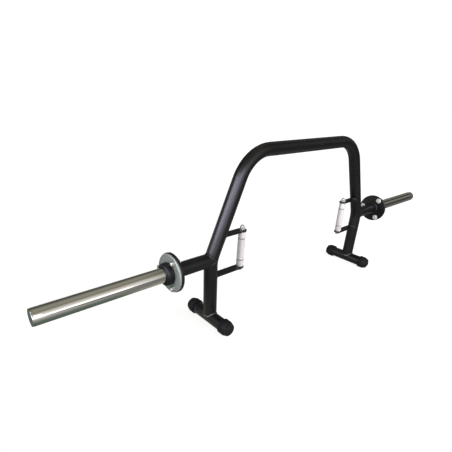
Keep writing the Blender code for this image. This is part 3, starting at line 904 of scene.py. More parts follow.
@dataclass(frozen=True)
class Finish:
    """A surface finish: its record slot, colour and shine, and how its pattern is laid on.

    Attributes:
        slot: the record's material slot.
        colour: the plain colour.
        metallic: 1 for bare metal and plate.
        roughness: the plain roughness.
        specular: how strongly a coat of paint or plastic shines.
        mottle: how far slow unevenness changes the colour.
        mottle_scale: patches per metre of it.
        grain_scale: cells per metre of the fine pattern.
        grain_depth: height of the fine pattern in metres.
        stretch: how much closer the fine pattern is along X, Y and Z.
        wear: how far edges are rubbed.
        worn_colour: the colour where they are rubbed.
        dust: how much dust lies on it.
        roughness_spread: how far slow unevenness changes the roughness.
        fine_factor: how much lighter the colour is that the fine pattern leans towards.
        name: the material's own name, where a slot has more than one look.
    """

    slot: str
    colour: Triple
    metallic: float = 0.0
    roughness: float = 0.4
    specular: float = 0.5
    mottle: float = 0.15
    mottle_scale: float = 14.0
    grain_scale: float = 900.0
    grain_depth: float = 0.00002
    stretch: Triple = (1.0, 1.0, 1.0)
    wear: float = 0.2
    worn_colour: Triple = (0.3, 0.3, 0.31)
    dust: float = 0.0
    roughness_spread: float = 0.12
    fine_factor: float = 1.5
    name: str = ""

    @property
    def key(self) -> str:
        """The name that the palette files this finish under."""
        return self.name or self.slot

    def build(self, shelf: EffectShelf) -> bpy.types.Material:
        """Make the material.

        Args:
            shelf: the shared node groups.

        Returns:
            The finished material.
        """
        material = bpy.data.materials.new(self.key)
        board = FinishBoard(material, shelf)
        laid = board.add("ShaderNodeMapping", Vector=board.where, Scale=self.stretch).outputs[0]
        mottle = board.effect(SharedEffect.MOTTLE, board.where, Scale=self.mottle_scale,
                              Contrast=MOTTLE_CONTRAST)["Tone"]
        worn = board.effect(SharedEffect.WEAR, board.where, Scale=WEAR_SCALE,
                            Amount=self.wear)["Edge"]
        dust = board.effect(SharedEffect.DUST, board.where, Scale=DUST_SCALE,
                            Amount=self.dust)["Dust"]
        height, fine = self._fine_pattern(board, laid)
        colour = board.blended(mottle, scaled(self.colour, 1 - self.mottle),
                               scaled(self.colour, 1 + self.mottle))
        colour = board.blended(board.maths("MULTIPLY", fine, FINE_TINTING), colour,
                               scaled(self.colour, self.fine_factor))
        colour = board.blended(worn, colour, self.worn_colour)
        colour = board.blended(dust, colour, DUST_COLOUR)
        colour = self._last_colour(board, colour)
        half = self.roughness_spread / 2
        dull = board.ranged(mottle, (0.0, 1.0), (self.roughness - half, self.roughness + half))
        dull = board.maths("ADD", dull, board.maths("MULTIPLY", dust, DUST_DULLING))
        dull = board.maths("ADD", dull, board.maths("MULTIPLY", fine, FINE_DULLING))
        bump = board.add("ShaderNodeBump", Height=height, Strength=1.0, Distance=self.grain_depth)
        shader = board.add("ShaderNodeBsdfPrincipled", Base_Color=colour, Roughness=dull,
                           Metallic=self.metallic, Specular_IOR_Level=self.specular,
                           Normal=bump.outputs[0])
        board.add("ShaderNodeOutputMaterial", Surface=shader.outputs[0])
        material.diffuse_color = (*self.colour, 1.0)
        return material

    def _fine_pattern(self, board: FinishBoard, where: Socket) -> tuple[Socket, Socket]:
        """The fine pattern's height and mask: a moulded or sprayed grain."""
        grain = board.effect(SharedEffect.GRAIN, where, Scale=self.grain_scale, Cells=GRAIN_CELLS)
        return grain["Height"], board.ranged(grain["Tone"], limits=(0.45, 0.7), results=(0.0, 0.4))

    def _last_colour(self, board: FinishBoard, colour: Socket) -> Socket:
        """Leave the colour as it is; a finish with marks or painted shade of its own lays them on
        here.
        """
        return colour


@dataclass(frozen=True)
class PlatedFinish(Finish):
    """Bare or plated metal, whose fine pattern is scratches along the stretch's long direction."""

    scratches: float = 0.4
    fine_factor: float = 0.72

    def _fine_pattern(self, board: FinishBoard, where: Socket) -> tuple[Socket, Socket]:
        """The fine pattern's height and mask: drawn or polished lines."""
        lines = board.effect(SharedEffect.SCRATCHES, where, Scale=self.grain_scale,
                             Amount=self.scratches)
        return lines["Height"], lines["Lines"]


@dataclass(frozen=True)
class DiscFinish(PlatedFinish):
    """Plated sheet turned on a lathe, with its lines running round the disc's middle.

    Attributes:
        middle: a point on the axis that the disc was turned on.
        turn_length: how far a radian of turn moves along the pattern, in metres.
    """

    middle: Triple = (0.0, 0.0, 0.265)
    turn_length: float = 0.0012

    def _fine_pattern(self, board: FinishBoard, where: Socket) -> tuple[Socket, Socket]:
        """Lines whose place is (distance from the middle, a little of the turn, 0).

        Args:
            board: the material's nodes.
            where: the place that is turned into that one.

        Returns:
            The pattern's height and mask.
        """
        offset = board.add("ShaderNodeVectorMath", where, self.middle,
                           settings={"operation": "SUBTRACT"})
        _, y, z = board.split(offset.outputs[0])
        turn = board.maths("MULTIPLY", board.maths("ARCTAN2", z, y), self.turn_length)
        polar = board.add("ShaderNodeCombineXYZ", board.distance(y, z), turn)
        return super()._fine_pattern(board, polar.outputs[0])


@dataclass(frozen=True)
class GripFinish(PlatedFinish):
    """Knurled plated steel, with painted shade darkening its ring grooves.

    Attributes:
        spacing: how far the grips' axes are from the middle of the bar.
        groove_radii: where the painted shade in the grooves is darkest, and where it ends.
        groove_colour: the colour of the shade painted into them.
    """

    spacing: float = 0.330
    groove_radii: Span = (0.0133, 0.0136)
    groove_colour: Triple = (0.012, 0.012, 0.014)

    def _last_colour(self, board: FinishBoard, colour: Socket) -> Socket:
        """Paint shade into the grooves by distance from the axis, sqrt((|x| - spacing)^2 + y^2).

        Args:
            board: the material's nodes.
            colour: the colour outside the grooves.

        Returns:
            The colour with the grooves' painted shade in it.
        """
        x, y, _ = board.split(board.where)
        offset = board.maths("SUBTRACT", board.maths("ABSOLUTE", x), self.spacing)
        # Painted shade: the colour goes near black at the grooves' radius, where shade falls in
        # them.
        groove_shade = board.ranged(board.distance(offset, y), self.groove_radii, (1.0, 0.0))
        return board.blended(groove_shade, colour, self.groove_colour)


POWDER_BLACK = Finish("frame_black", (0.0036, 0.0033, 0.0042), roughness=0.34, specular=0.45,
                      grain_scale=1100, grain_depth=0.00001, wear=0.1, dust=0.004,
                      worn_colour=(0.05, 0.05, 0.055))
# The beads' black is lighter than the frame's and lighter again on rubbed crests: partly bare metal
# where the paint is rubbed, partly a painted highlight on the bead tops.
WELD_BLACK = replace(POWDER_BLACK, name="weld_black", colour=(0.010, 0.010, 0.012),
                     roughness=0.30, specular=0.7, grain_depth=0.000006, wear=0.35,
                     worn_colour=(0.08, 0.08, 0.085))
COLLAR_BLACK = Finish("collar_black", (0.004, 0.004, 0.0055), roughness=0.5, specular=0.32,
                      grain_scale=1300, grain_depth=0.000006, wear=0.06, dust=0.004,
                      worn_colour=(0.06, 0.06, 0.065))
CAP_RUBBER = Finish("cap_rubber", (0.0075, 0.007, 0.0076), roughness=0.72, specular=0.22,
                    grain_scale=1500, grain_depth=0.000004, wear=0.03, dust=0.004,
                    worn_colour=(0.03, 0.03, 0.03))
CHROME = PlatedFinish("chrome", (0.60, 0.595, 0.57), metallic=1.0, roughness=0.09, mottle=0.05,
                      grain_scale=700, grain_depth=0.0000008, stretch=(0.03, 1.0, 1.0), wear=0.0,
                      scratches=0.35, roughness_spread=0.03)
ZINC = DiscFinish("zinc", (0.335, 0.375, 0.33), metallic=0.6, roughness=0.62, mottle=0.12,
                  mottle_scale=60.0, grain_depth=0.000006, wear=0.3,
                  worn_colour=(0.5, 0.5, 0.47), scratches=0.5)
BRIGHT_ZINC = PlatedFinish("bright_fastener", (0.60, 0.60, 0.62), metallic=0.6, roughness=0.36,
                           mottle=0.08, mottle_scale=90.0, grain_scale=800, grain_depth=0.000003,
                           wear=0.3, worn_colour=(0.7, 0.7, 0.72), scratches=0.3)
# The bolts' lighter and the nuts' darker copy of the bright plate: partly a real difference between
# head and nut, partly painted light on the heads and painted shade on the nuts.
BOLT_ZINC = replace(BRIGHT_ZINC, name="bolt_zinc", colour=(0.80, 0.80, 0.79), metallic=0.4,
                    roughness=0.42, mottle=0.06, worn_colour=(0.84, 0.84, 0.83))
NUT_ZINC = replace(BRIGHT_ZINC, name="nut_zinc", colour=(0.36, 0.375, 0.37), roughness=0.38,
                   mottle=0.1, wear=0.5, worn_colour=(0.60, 0.60, 0.59), scratches=0.4)
GRIP_STEEL = GripFinish("grip_steel", (0.76, 0.725, 0.75), metallic=0.4, roughness=0.42,
                        mottle=0.08, mottle_scale=50.0, grain_depth=0.000004, wear=0.35,
                        worn_colour=(0.80, 0.78, 0.80), scratches=0.2)
SPINDLE_STEEL = PlatedFinish("spindle_steel", (0.35, 0.35, 0.36), metallic=1.0, roughness=0.3,
                             grain_depth=0.000004, stretch=(1.0, 0.1, 0.1))
BRONZE = PlatedFinish("bronze", (0.5, 0.32, 0.14), metallic=1.0, roughness=0.35, grain_scale=700,
                      grain_depth=0.000005, wear=0.3, worn_colour=(0.72, 0.52, 0.28))
NYLON = Finish("bush_nylon", (0.62, 0.6, 0.54), roughness=0.45, grain_scale=1200, mottle=0.06,
               grain_depth=0.00001, wear=0.1, worn_colour=(0.7, 0.68, 0.62), dust=0.02)
FINISHES = (POWDER_BLACK, WELD_BLACK, COLLAR_BLACK, CAP_RUBBER, CHROME, ZINC, BRIGHT_ZINC,
            BOLT_ZINC, NUT_ZINC, GRIP_STEEL, SPINDLE_STEEL, BRONZE, NYLON)


class Palette:
    """Every finish's material, built once, and the CAD nodes dressed in them."""

    def __init__(self) -> None:
        """Build the materials."""
        shelf = EffectShelf()
        self.materials = {finish.key: finish.build(shelf) for finish in FINISHES}

    def dress_frame(self) -> None:
        """Give each CAD node the material of its own slot, in place of its plain colour."""
        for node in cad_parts.values():
            for place in node.material_slots:
                plain = place.material.name.split(".")[0] if place.material else ""
                if plain in self.materials:
                    place.material = self.materials[plain]


# Pieces

BODY_EDGE = 35.0
DISC_EDGE = 25.0
FASTENER_EDGE = 30.0
KNURL_EDGE = 40.0


@dataclass
class Assembly:
    """A group of pieces that are built and dressed together, in the middle or on one side."""

    palette: Palette
    side: Side | None

    def at(self, name: str, *tags: object) -> str:
        """The name of a piece or CAD node on this side, as in foot_cap_left_front."""
        return "_".join((name, self.side.word, *map(str, tags)))

    def box(self, node: str, *tags: object) -> NodeBox:
        """The space that a CAD node on this side fills."""
        return NodeBox.of(self.at(node, *tags))

    def outward_axis(self, box: NodeBox) -> Axis:
        """The line through a box's middle that runs outwards along X."""
        return Axis.through(box, (float(self.side.value), 0.0, 0.0))

    def keep(self, name: str, surfaces: Sequence[Surface], finish: Finish, node: str = "",
             body: Body = Body.FRAME, sharp_degrees: float = BODY_EDGE) -> None:
        """Make one piece, dress it, let it ride and hide the CAD node that it stands for.

        Args:
            name: the piece's name.
            surfaces: its closed surfaces.
            finish: its finish.
            node: the CAD node that it replaces, if it does.
            body: what it moves with.
            sharp_degrees: edges that turn more than this are drawn sharp.
        """
        piece = bpy.data.objects.new(name, mesh_of(name, surfaces, sharp_degrees))
        bpy.context.scene.collection.objects.link(piece)
        piece.data.materials.append(self.palette.materials[finish.key])
        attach(piece, body.name_at(self.side))
        if node:
            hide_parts(node)
        LOG.info("%s: %d faces on %s, stands for %s", name, len(piece.data.polygons),
                 body.name_at(self.side), node or "nothing")


@dataclass
class FrameTube(Assembly):
    """The bent tube: a beam across the top, two legs that lean out, and the elbows.

    Attributes:
        flattening: how far a bend flattens the tube, as a share of its radius.
        elbow_share: how much of that the shallow elbows have.
        elbow_zone: a bend nearer than this to the sleeves' height is an elbow.
        bulge_window: how many rings the flattening is smoothed over.
        ring_steps: spacing of the rings, in metres and in bends in degrees.
        dense_steps: the same for the line that joints are measured on.
        least_rise: how high on the foot tube a leg still lands, as a share of its radius.
    """

    beam_height: float = 0.630
    corner_spacing: float = 0.650
    elbow_spacing: float = 0.950
    foot_spacing: float = 0.934
    sleeve_height: float = 0.265
    corner_radius: float = 0.145
    elbow_radius: float = 0.120
    tube_radius: float = 0.025
    flattening: float = 0.06
    elbow_share: float = 0.35
    elbow_zone: float = 0.12
    bulge_window: int = 9
    foot_radius: float = 0.0235
    foot_axis: float = 0.0285
    least_rise: float = 0.5
    sides: int = 72
    ring_steps: Span = (0.02, 2.5)
    dense_steps: Span = (0.002, 0.7)
    halvings: int = 22
    path: tuple[Array, ...] = field(init=False)
    dense: Array = field(init=False)

    def __post_init__(self) -> None:
        """Work out the centre line, once coarse for the tube and once dense for measuring."""
        left = [Bend(-self.foot_spacing / 2, self.foot_axis),
                Bend(-self.elbow_spacing / 2, self.sleeve_height, self.elbow_radius),
                Bend(-self.corner_spacing / 2, self.beam_height, self.corner_radius)]
        bends = left + [Bend(-bend.x, bend.z, bend.radius) for bend in reversed(left)]
        self.path = centre_line(bends, *self.ring_steps)
        self.dense = centre_line(bends, *self.dense_steps)[0]

    def meeting(self, side: Side, y: Array, z: Array, inner: float, outer: float) -> Array:
        """Where lines along X meet the tube's skin.

        The place is found by halving: the distance to the nearest point of the centre line is
        compared with the tube's radius.

        Args:
            side: which leg is met.
            y: the lines' places across the bar.
            z: their heights.
            inner: how far from the bar's middle a place inside the tube is.
            outer: the same for a place outside it.

        Returns:
            The X of each meeting point.
        """
        near, far = np.full(y.shape, inner, float), np.full(y.shape, outer, float)
        line = self.dense[self.dense[:, 0] * side.value > 0]
        for _ in range(self.halvings):
            middle = (near + far) / 2
            gap = np.sqrt((middle[:, None] * side.value - line[None, :, 0]) ** 2
                          + y[:, None] ** 2 + (z[:, None] - line[None, :, 1]) ** 2).min(axis=1)
            inside = gap < self.tube_radius
            near, far = np.where(inside, middle, near), np.where(inside, far, middle)
        return near * side.value

    def skin(self) -> Array:
        """The tube's surface as rows of rings.

        A point is c(s) + (1 - f * bend(s)) * R * cos(a) * n(s) + R * sin(a) * y, where c is the
        centre line, n its normal in the XZ plane, R the tube's radius, and f its flattening in
        the bends. The first and last rings lie on the foot tubes.

        Returns:
            An array of rings, points and coordinates.
        """
        points, headings, inside = self.path
        flat = np.zeros(len(points))
        normal = np.column_stack((-headings[:, 1], flat, headings[:, 0]))
        window = np.hanning(self.bulge_window)
        bulge = np.convolve(inside, window / window.sum(), mode="same")
        is_corner = np.abs(points[:, 1] - self.sleeve_height) > self.elbow_zone
        squeeze = 1 - self.flattening * bulge * np.where(is_corner, 1.0, self.elbow_share)
        angle = turns(self.sides)[None, :]
        centre = np.column_stack((points[:, 0], flat, points[:, 1]))
        rings = (centre[:, None, :]
                 + (self.tube_radius * squeeze[:, None] * np.cos(angle))[..., None]
                 * normal[:, None, :])
        rings[..., 1] += self.tube_radius * np.sin(angle)
        for row, step in ((0, 1), (-1, -1)):
            rings[row] = self.foot_joint(rings[row + step], points[row])
        return rings

    def foot_joint(self, ring_above: Array, foot: Array) -> Array:
        """Carry a ring of the leg straight down onto the foot tube.

        A ring point moves by the same amount in X and Z as the leg's heading, to the height
        foot_axis + sqrt(r^2 - x^2), or a fixed height where the leg is wider than the foot tube.

        Args:
            ring_above: the last ring of the leg.
            foot: the centre line's end as (x, z).

        Returns:
            The ring on the foot tube.
        """
        offset = ring_above[:, 0] - foot[0]
        lean = (self.elbow_spacing - self.foot_spacing) / 2 / (self.sleeve_height - self.foot_axis)
        least_rise = self.foot_radius * self.least_rise
        rise = np.sqrt(np.maximum(self.foot_radius ** 2 - offset ** 2, least_rise ** 2))
        height = self.foot_axis + rise
        moved = ring_above.copy()
        moved[:, 0] -= np.sign(foot[0]) * lean * (ring_above[:, 2] - height)
        moved[:, 2] = height
        return moved

    def build(self) -> None:
        """Build the tube."""
        self.keep("bent_frame_tube", [Surface(self.skin())], POWDER_BLACK, "frame_arch")


@dataclass
class Stub(Assembly):
    """The level tube outside an elbow, welded to the elbow and to its black flange."""

    tube: FrameTube
    elbow_bead: Bead = Bead(width=0.0042, height=0.0024)
    flange_bead: Bead = Bead(width=0.00336, height=0.0024)
    overlap: float = 0.004
    lean: float = 0.6
    sides: int = 120
    rows: int = 12

    def build(self) -> None:
        """Build the stub, whose rings run straight from the elbow's skin, and its two beads."""
        box, sign = self.box("stub_tube"), self.side.value
        height, radius, end = box.middle[2], box.half[1], box.ends()[1]
        angle = turns(self.sides)
        y, z = radius * np.cos(angle), height + radius * np.sin(angle)
        start = self.tube.meeting(self.side, y, z, self.tube.elbow_spacing / 2, end)
        share = np.linspace(0, 1, self.rows)[:, None]
        x = (start - self.overlap * sign) * (1 - share) + end * sign * share
        points = np.stack(np.broadcast_arrays(x, y, z), axis=-1)
        self.keep(self.at("elbow_stub"), [Surface(points)], POWDER_BLACK, self.at("stub_tube"))
        ray = np.column_stack((np.zeros(self.sides), np.cos(angle), np.sin(angle)))
        along = np.array((sign, 0.0, 0.0))
        bead = self.elbow_bead.along(np.column_stack((start, y, z)), ray + self.lean * along)
        self.keep(self.at("elbow_weld"), [bead], POWDER_BLACK)
        rim = np.column_stack((np.full(self.sides, end * sign), y, z))
        self.keep(self.at("stub_weld"), [self.flange_bead.along(rim, ray - along)], WELD_BLACK)


@dataclass
class Foot(Assembly):
    """A foot tube welded to its leg, and the moulded rubber caps on its two ends.

    Attributes:
        weld_lift: how far the weld's bead faces upwards.
        lip_turn: how far the rounding of the lip's inner rim goes, in degrees.
        least_crown: how much of a cap's closed end stays flat at least.
        seat: how far the cap's hidden inside reaches in along the tube and into its wall.
    """

    tube: FrameTube
    bead: Bead = Bead(width=0.0048, height=0.0026)
    weld_lift: float = 0.35
    lip_width: float = 0.0035
    lip_height: float = 0.0003
    back_edge: float = 0.0009
    lip_edge: float = 0.0006
    lip_turn: float = 80.0
    nose_radius: float = 0.0265
    nose_steps: int = 22
    least_crown: float = 0.001
    clearance: float = 0.0004
    seat: Span = (0.004, 0.001)

    def build(self) -> None:
        """Build the foot tube, the weld bead round the leg and both caps."""
        box = self.box("foot_tube")
        axis, radius = Axis.through(box, (0.0, 1.0, 0.0)), box.half[0]
        self.keep(self.at("cross_foot"), [rod(axis, box.low[1], box.high[1], radius, FOOT_SIDES)],
                  POWDER_BLACK, self.at("foot_tube"))
        joint = self.tube.skin()[0 if self.side is Side.LEFT else -1]
        outward = (joint - joint.mean(axis=0)) * (1.0, 1.0, 0.0)
        outward /= np.linalg.norm(outward, axis=1)[:, None]
        outward[:, 2] = self.weld_lift
        self.keep(self.at("foot_weld"), [self.bead.along(joint, outward)], WELD_BLACK)
        for end in FootEnd:
            self._cap(end, radius)

    def _cap(self, end: FootEnd, tube_radius: float) -> None:
        """Build one cap: a lip, a straight wall, and a nose whose section is a round arc.

        The nose's arc of radius n is centred n behind the crown and R - n from the axis.

        Args:
            end: which end of the foot tube it is on.
            tube_radius: the foot tube's radius.
        """
        word = end.name.lower()
        box = self.box("foot_cap", word)
        axis = Axis.through(box, (0.0, end.value, 0.0))
        back, crown = box.ends(1)
        radius, lip_end = box.half[0], back + self.lip_width
        wall = radius - self.lip_height
        nose = min(self.nose_radius, wall - self.least_crown, crown - back - self.lip_width)
        profile = [(back + self.seat[0], tube_radius - self.seat[1]),
                   (back, tube_radius + self.clearance)]
        profile += back_rim(back, radius, self.back_edge, RIM_STEPS)
        profile += front_rim(lip_end, radius, self.lip_edge, RIM_STEPS, self.lip_turn)
        profile += [(lip_end + self.lip_edge, wall)]
        profile += front_rim(crown, wall, nose, self.nose_steps) + [(crown, 0.0)]
        self.keep(self.at("rubber_cap", word), [revolve(axis, profile, CAP_SIDES)], CAP_RUBBER,
                  self.at("foot_cap", word))


@dataclass
class FlangeJoint(Assembly):
    """The two bolted discs between the stub and the sleeve, with their bolts and nuts.

    Attributes:
        rim_cut: width of the bevel on the plated disc's outer rim.
        bevel_ends: how far that bevel's two ends are eased, along and across it.
        face_radius: where the outer face has a row of points.
        overlap: how far a hexagon reaches into its flanged rim.
        shank_start: where the plain shank starts inside the head.
        shank_end: where it ends inside the nut, and thread_start where the thread begins.
        first_turn: how far the heads are screwed round, with turn_step more for each bolt and
            nut_turn more for its nut, all in radians.
    """

    black_edge: float = 0.0012
    back_edge: float = 0.0005
    rim_cut: float = 0.0025
    bevel_ends: Span = (0.0004, 0.0003)
    face_radius: float = 0.031
    across_flats: float = 0.017
    shank_radius: float = 0.005
    head_rim_radius: float = 0.01275
    head_rim_edges: Span = (0.0007, 0.0002)
    nut_rim_radius: float = 0.0095
    nut_rim_edge: float = 0.0004
    rim_thickness: float = 0.0015
    rim_gap: float = 0.0003
    overlap: float = 0.0002
    shank_start: float = 0.002
    shank_end: float = 0.001
    nut_play: float = 0.0003
    pitch: float = 0.0015
    thread_start: float = 0.0005
    thread_depth: float = 0.00075
    first_turn: float = 0.2
    turn_step: float = 0.35
    nut_turn: float = 0.5

    def build(self) -> None:
        """Build both discs, then the three bolts and nuts."""
        black, plated = self.box("frame_flange"), self.box("sleeve_flange")
        axis = self.outward_axis(black)
        edges = (self.black_edge, self.black_edge)
        plate = disc(axis, *black.ends(), black.half[1], edges, DISC_SIDES)
        self.keep(self.at("black_flange"), [plate], POWDER_BLACK, self.at("frame_flange"),
                  sharp_degrees=DISC_EDGE)
        near, far = plated.ends()
        radius, cut, (ease, drop) = plated.half[1], self.rim_cut, self.bevel_ends
        profile = [(near, 0.0), (near, radius * FACE_RING)]
        profile += back_rim(near, radius, self.back_edge, EDGE_STEPS)
        profile += [(far - cut, radius), (far - cut + ease, radius - drop),
                    (far - ease, radius - cut + ease), (far, radius - cut - ease),
                    (far, self.face_radius), (far, 0.0)]
        self.keep(self.at("plated_flange"), [revolve(axis, profile, DISC_SIDES)], ZINC,
                  self.at("sleeve_flange"), sharp_degrees=DISC_EDGE)
        for number in (1, 2, 3):
            turn = self.turn_step * number + self.first_turn
            self._bolt(number, turn, black.ends()[0] - self.rim_gap)
            self._nut(number, turn + self.nut_turn)

    def _bolt(self, number: int, turn: float, rim: float) -> None:
        """Build one bolt with its flanged head and threaded end.

        Args:
            number: which bolt.
            turn: how far its head is turned, in radians.
            rim: where the head's flanged rim lies against the disc.
        """
        box, nut_near = self.box("flange_bolt", number), self.box("flange_nut", number).ends()[0]
        axis = self.outward_axis(box)
        start, end = box.ends()
        back = rim - self.rim_thickness
        head = hexagon(axis, start, back + self.overlap, self.across_flats, (True, False), turn)
        washer_face = disc(axis, back, rim, self.head_rim_radius, self.head_rim_edges, RIM_SIDES)
        shank = rod(axis, start + self.shank_start, nut_near + self.shank_end, self.shank_radius,
                    SHANK_SIDES)
        screw = thread(axis, nut_near + self.thread_start, end, self.shank_radius, self.pitch,
                       self.thread_depth)
        self.keep(self.at("flange_bolt_fine", number), [head, washer_face, shank, screw],
                  BOLT_ZINC, self.at("flange_bolt", number), sharp_degrees=FASTENER_EDGE)

    def _nut(self, number: int, turn: float) -> None:
        """Build one flanged nut.

        Args:
            number: which nut.
            turn: how far it is turned, in radians.
        """
        axis = self.outward_axis(self.box("flange_bolt", number))
        near, far = self.box("flange_nut", number).ends()
        front, bore = near + self.rim_thickness, self.shank_radius + self.nut_play
        prism = hexagon(axis, front - self.overlap, far, self.across_flats, (False, True), turn,
                        bore)
        skirt = ring(axis, near, front, self.nut_rim_radius, bore, self.nut_rim_edge, RIM_SIDES)
        self.keep(self.at("flange_nut_fine", number), [prism, skirt], NUT_ZINC,
                  self.at("flange_nut", number), sharp_degrees=FASTENER_EDGE)


@dataclass
class Sleeve(Assembly):
    """A turning sleeve: the chrome tube, its black plate stop and its closed end.

    Attributes:
        stop_nose: rounding of the stop's front rim.
        nose_turn: how far that rounding goes, in degrees.
        fit: gap between the stop and the tube.
        plug_seat: gaps between the plug and the tube's end, at the wall and at the rim.
        dish_rim: where the rolled rim ends and where the dish starts, from the plug's rim.
    """

    wall: float = 0.004
    tube_edge: float = 0.0001
    stop_edge: float = 0.001
    stop_nose: float = 0.010
    nose_turn: float = 84.0
    bore_edge: float = 0.0006
    fit: float = 0.0001
    plug_edge: float = 0.0004
    plug_seat: Span = (0.0002, 0.0001)
    dish_rim: Span = (0.0030, 0.0045)
    dish_depth: float = 0.0006
    dish_ring: float = 0.4
    nose_steps: int = 16
    rings: int = 9

    def build(self) -> None:
        """Build the tube, the stop and the end plug."""
        tube = self.box("sleeve_tube")
        axis = self.outward_axis(tube)
        near, far = tube.ends()
        radius = tube.half[1]
        rows = [(near, radius - self.wall), (near, radius)]
        shares = np.linspace(0, 1, self.rings + 2)[1:-1]
        rows += [(near + share * (far - near), radius) for share in shares]
        rows += front_rim(far, radius, self.tube_edge, 2) + [(far, radius - self.wall)]
        self.keep(self.at("chrome_sleeve"), [revolve(axis, rows, SLEEVE_SIDES, closed_rows=True)],
                  CHROME, self.at("sleeve_tube"), Body.SLEEVE)
        stop = self.box("sleeve_collar")
        near, front = stop.ends()
        outer, bore = stop.half[1], radius + self.fit
        rows = [(near, bore)] + back_rim(near, outer, self.stop_edge, RIM_STEPS)
        rows += front_rim(front, outer, self.stop_nose, self.nose_steps, self.nose_turn)
        rows += [(front, outer - self.stop_nose - self.bore_edge),
                 (front, radius + self.bore_edge), (front - self.bore_edge, bore)]
        self.keep(self.at("plate_stop"), [revolve(axis, rows, SLEEVE_SIDES, closed_rows=True)],
                  COLLAR_BLACK, self.at("sleeve_collar"), Body.SLEEVE)
        self._plug(axis, far)

    def _plug(self, axis: Axis, tube_end: float) -> None:
        """Build the end plug: a shallow dish inside a rolled rim, and its hidden insert.

        Args:
            axis: the line that the sleeve turns on.
            tube_end: where the tube ends along it.
        """
        box = self.box("sleeve_plug")
        start, end = box.ends()
        rim, dish = box.half[1], end - self.dish_depth
        insert = rim - self.wall
        gap, rim_gap = self.plug_seat
        rows = [(start, 0.0), (start, insert), (tube_end + gap, insert),
                (tube_end + rim_gap, rim - rim_gap), (tube_end + gap, rim)]
        rows += front_rim(end, rim, self.plug_edge, RIM_STEPS)
        rows += [(end, rim - self.dish_rim[0]), (dish, rim - self.dish_rim[1]),
                 (dish, rim * self.dish_ring), (dish, 0.0)]
        self.keep(self.at("sleeve_end"), [revolve(axis, rows, SLEEVE_SIDES)], CHROME,
                  self.at("sleeve_plug"), Body.SLEEVE)


@dataclass
class Grip(Assembly):
    """A turning grip: a knurled tube between two ring grooves, with plain ends.

    Attributes:
        starts: how many threads of the knurl cross in each direction.
        groove_start: how far the knurl's last ring runs on before a groove's wall.
        groove_floor: where a groove's flat floor starts and ends, as shares of its width.
        fineness: how many points a thread has.
    """

    knurl_length: float = 0.082
    knurl_height: float = 0.00035
    starts: int = 54
    groove_width: float = 0.003
    groove_depth: float = 0.0018
    groove_edge: float = 0.0003
    groove_start: float = 0.0002
    groove_floor: Span = (0.25, 0.8)
    end_edge: float = 0.001
    wall: float = 0.003
    fineness: int = 4

    def build(self) -> None:
        """Build the grip's outer skin and bore as one ring of rows.

        The knurl's height at (z, a) is h * (1 - max(|saw(u)|, |saw(v)|)) with u = n * a / turn +
        z / p and v = n * a / turn - z / p, which raises four-sided points on crossing threads.
        """
        box = self.box("grip_tube")
        axis = Axis.through(box, (0.0, 0.0, 1.0))
        bottom, top, outer, middle = box.low[2], box.high[2], box.half[0], box.middle[2]
        half = self.knurl_length / 2
        pitch = 2 * math.pi * outer / self.starts
        rows = int(self.knurl_length / pitch * self.fineness)
        knurled = np.linspace(middle - half, middle + half, rows)
        angle = turns(self.starts * self.fineness)
        round_way = self.starts * angle[None, :] / (2 * math.pi)
        up_way = knurled[:, None] / pitch
        saws = [np.abs(2 * (way % 1.0) - 1) for way in (round_way + up_way, round_way - up_way)]
        skin = outer - self.knurl_height + self.knurl_height * (1 - np.maximum(*saws))
        before = back_rim(bottom, outer, self.end_edge, RIM_STEPS)
        before += self._groove(middle - half, -1.0, outer)[::-1]
        after = self._groove(middle + half, 1.0, outer)
        after += front_rim(top, outer, self.end_edge, RIM_STEPS)
        after += [(top, outer - self.wall), (bottom, outer - self.wall)]
        below, above = np.array(before), np.array(after)
        heights = np.concatenate((below[:, 0], knurled, above[:, 0]))
        radii = np.vstack([below[:, 1:] * np.ones(len(angle)), skin,
                           above[:, 1:] * np.ones(len(angle))])
        points = axis.carry(heights[:, None], radii, angle[None, :])
        self.keep(self.at("knurled_grip"), [Surface(points, closed_rows=True)], GRIP_STEEL,
                  self.at("grip_tube"), Body.GRIP, KNURL_EDGE)

    def _groove(self, edge: float, direction: float, outer: float) -> Profile:
        """One ring groove outside the knurl: down the wall, along a round floor, and up again.

        Args:
            edge: the height where the knurl ends.
            direction: 1 for a groove above it and -1 for one below.
            outer: the grip's outer radius.

        Returns:
            The groove's profile, from the knurl outwards.
        """
        floor, ease = outer - self.groove_depth, self.groove_edge
        width = self.groove_width * direction
        first, last = self.groove_floor
        return [(edge + self.groove_start * direction, outer - self.knurl_height),
                (edge + ease * direction, floor + ease), (edge + first * width, floor),
                (edge + last * width, floor), (edge + width, floor + ease),
                (edge + width, outer - ease), (edge + width + ease * direction, outer)]


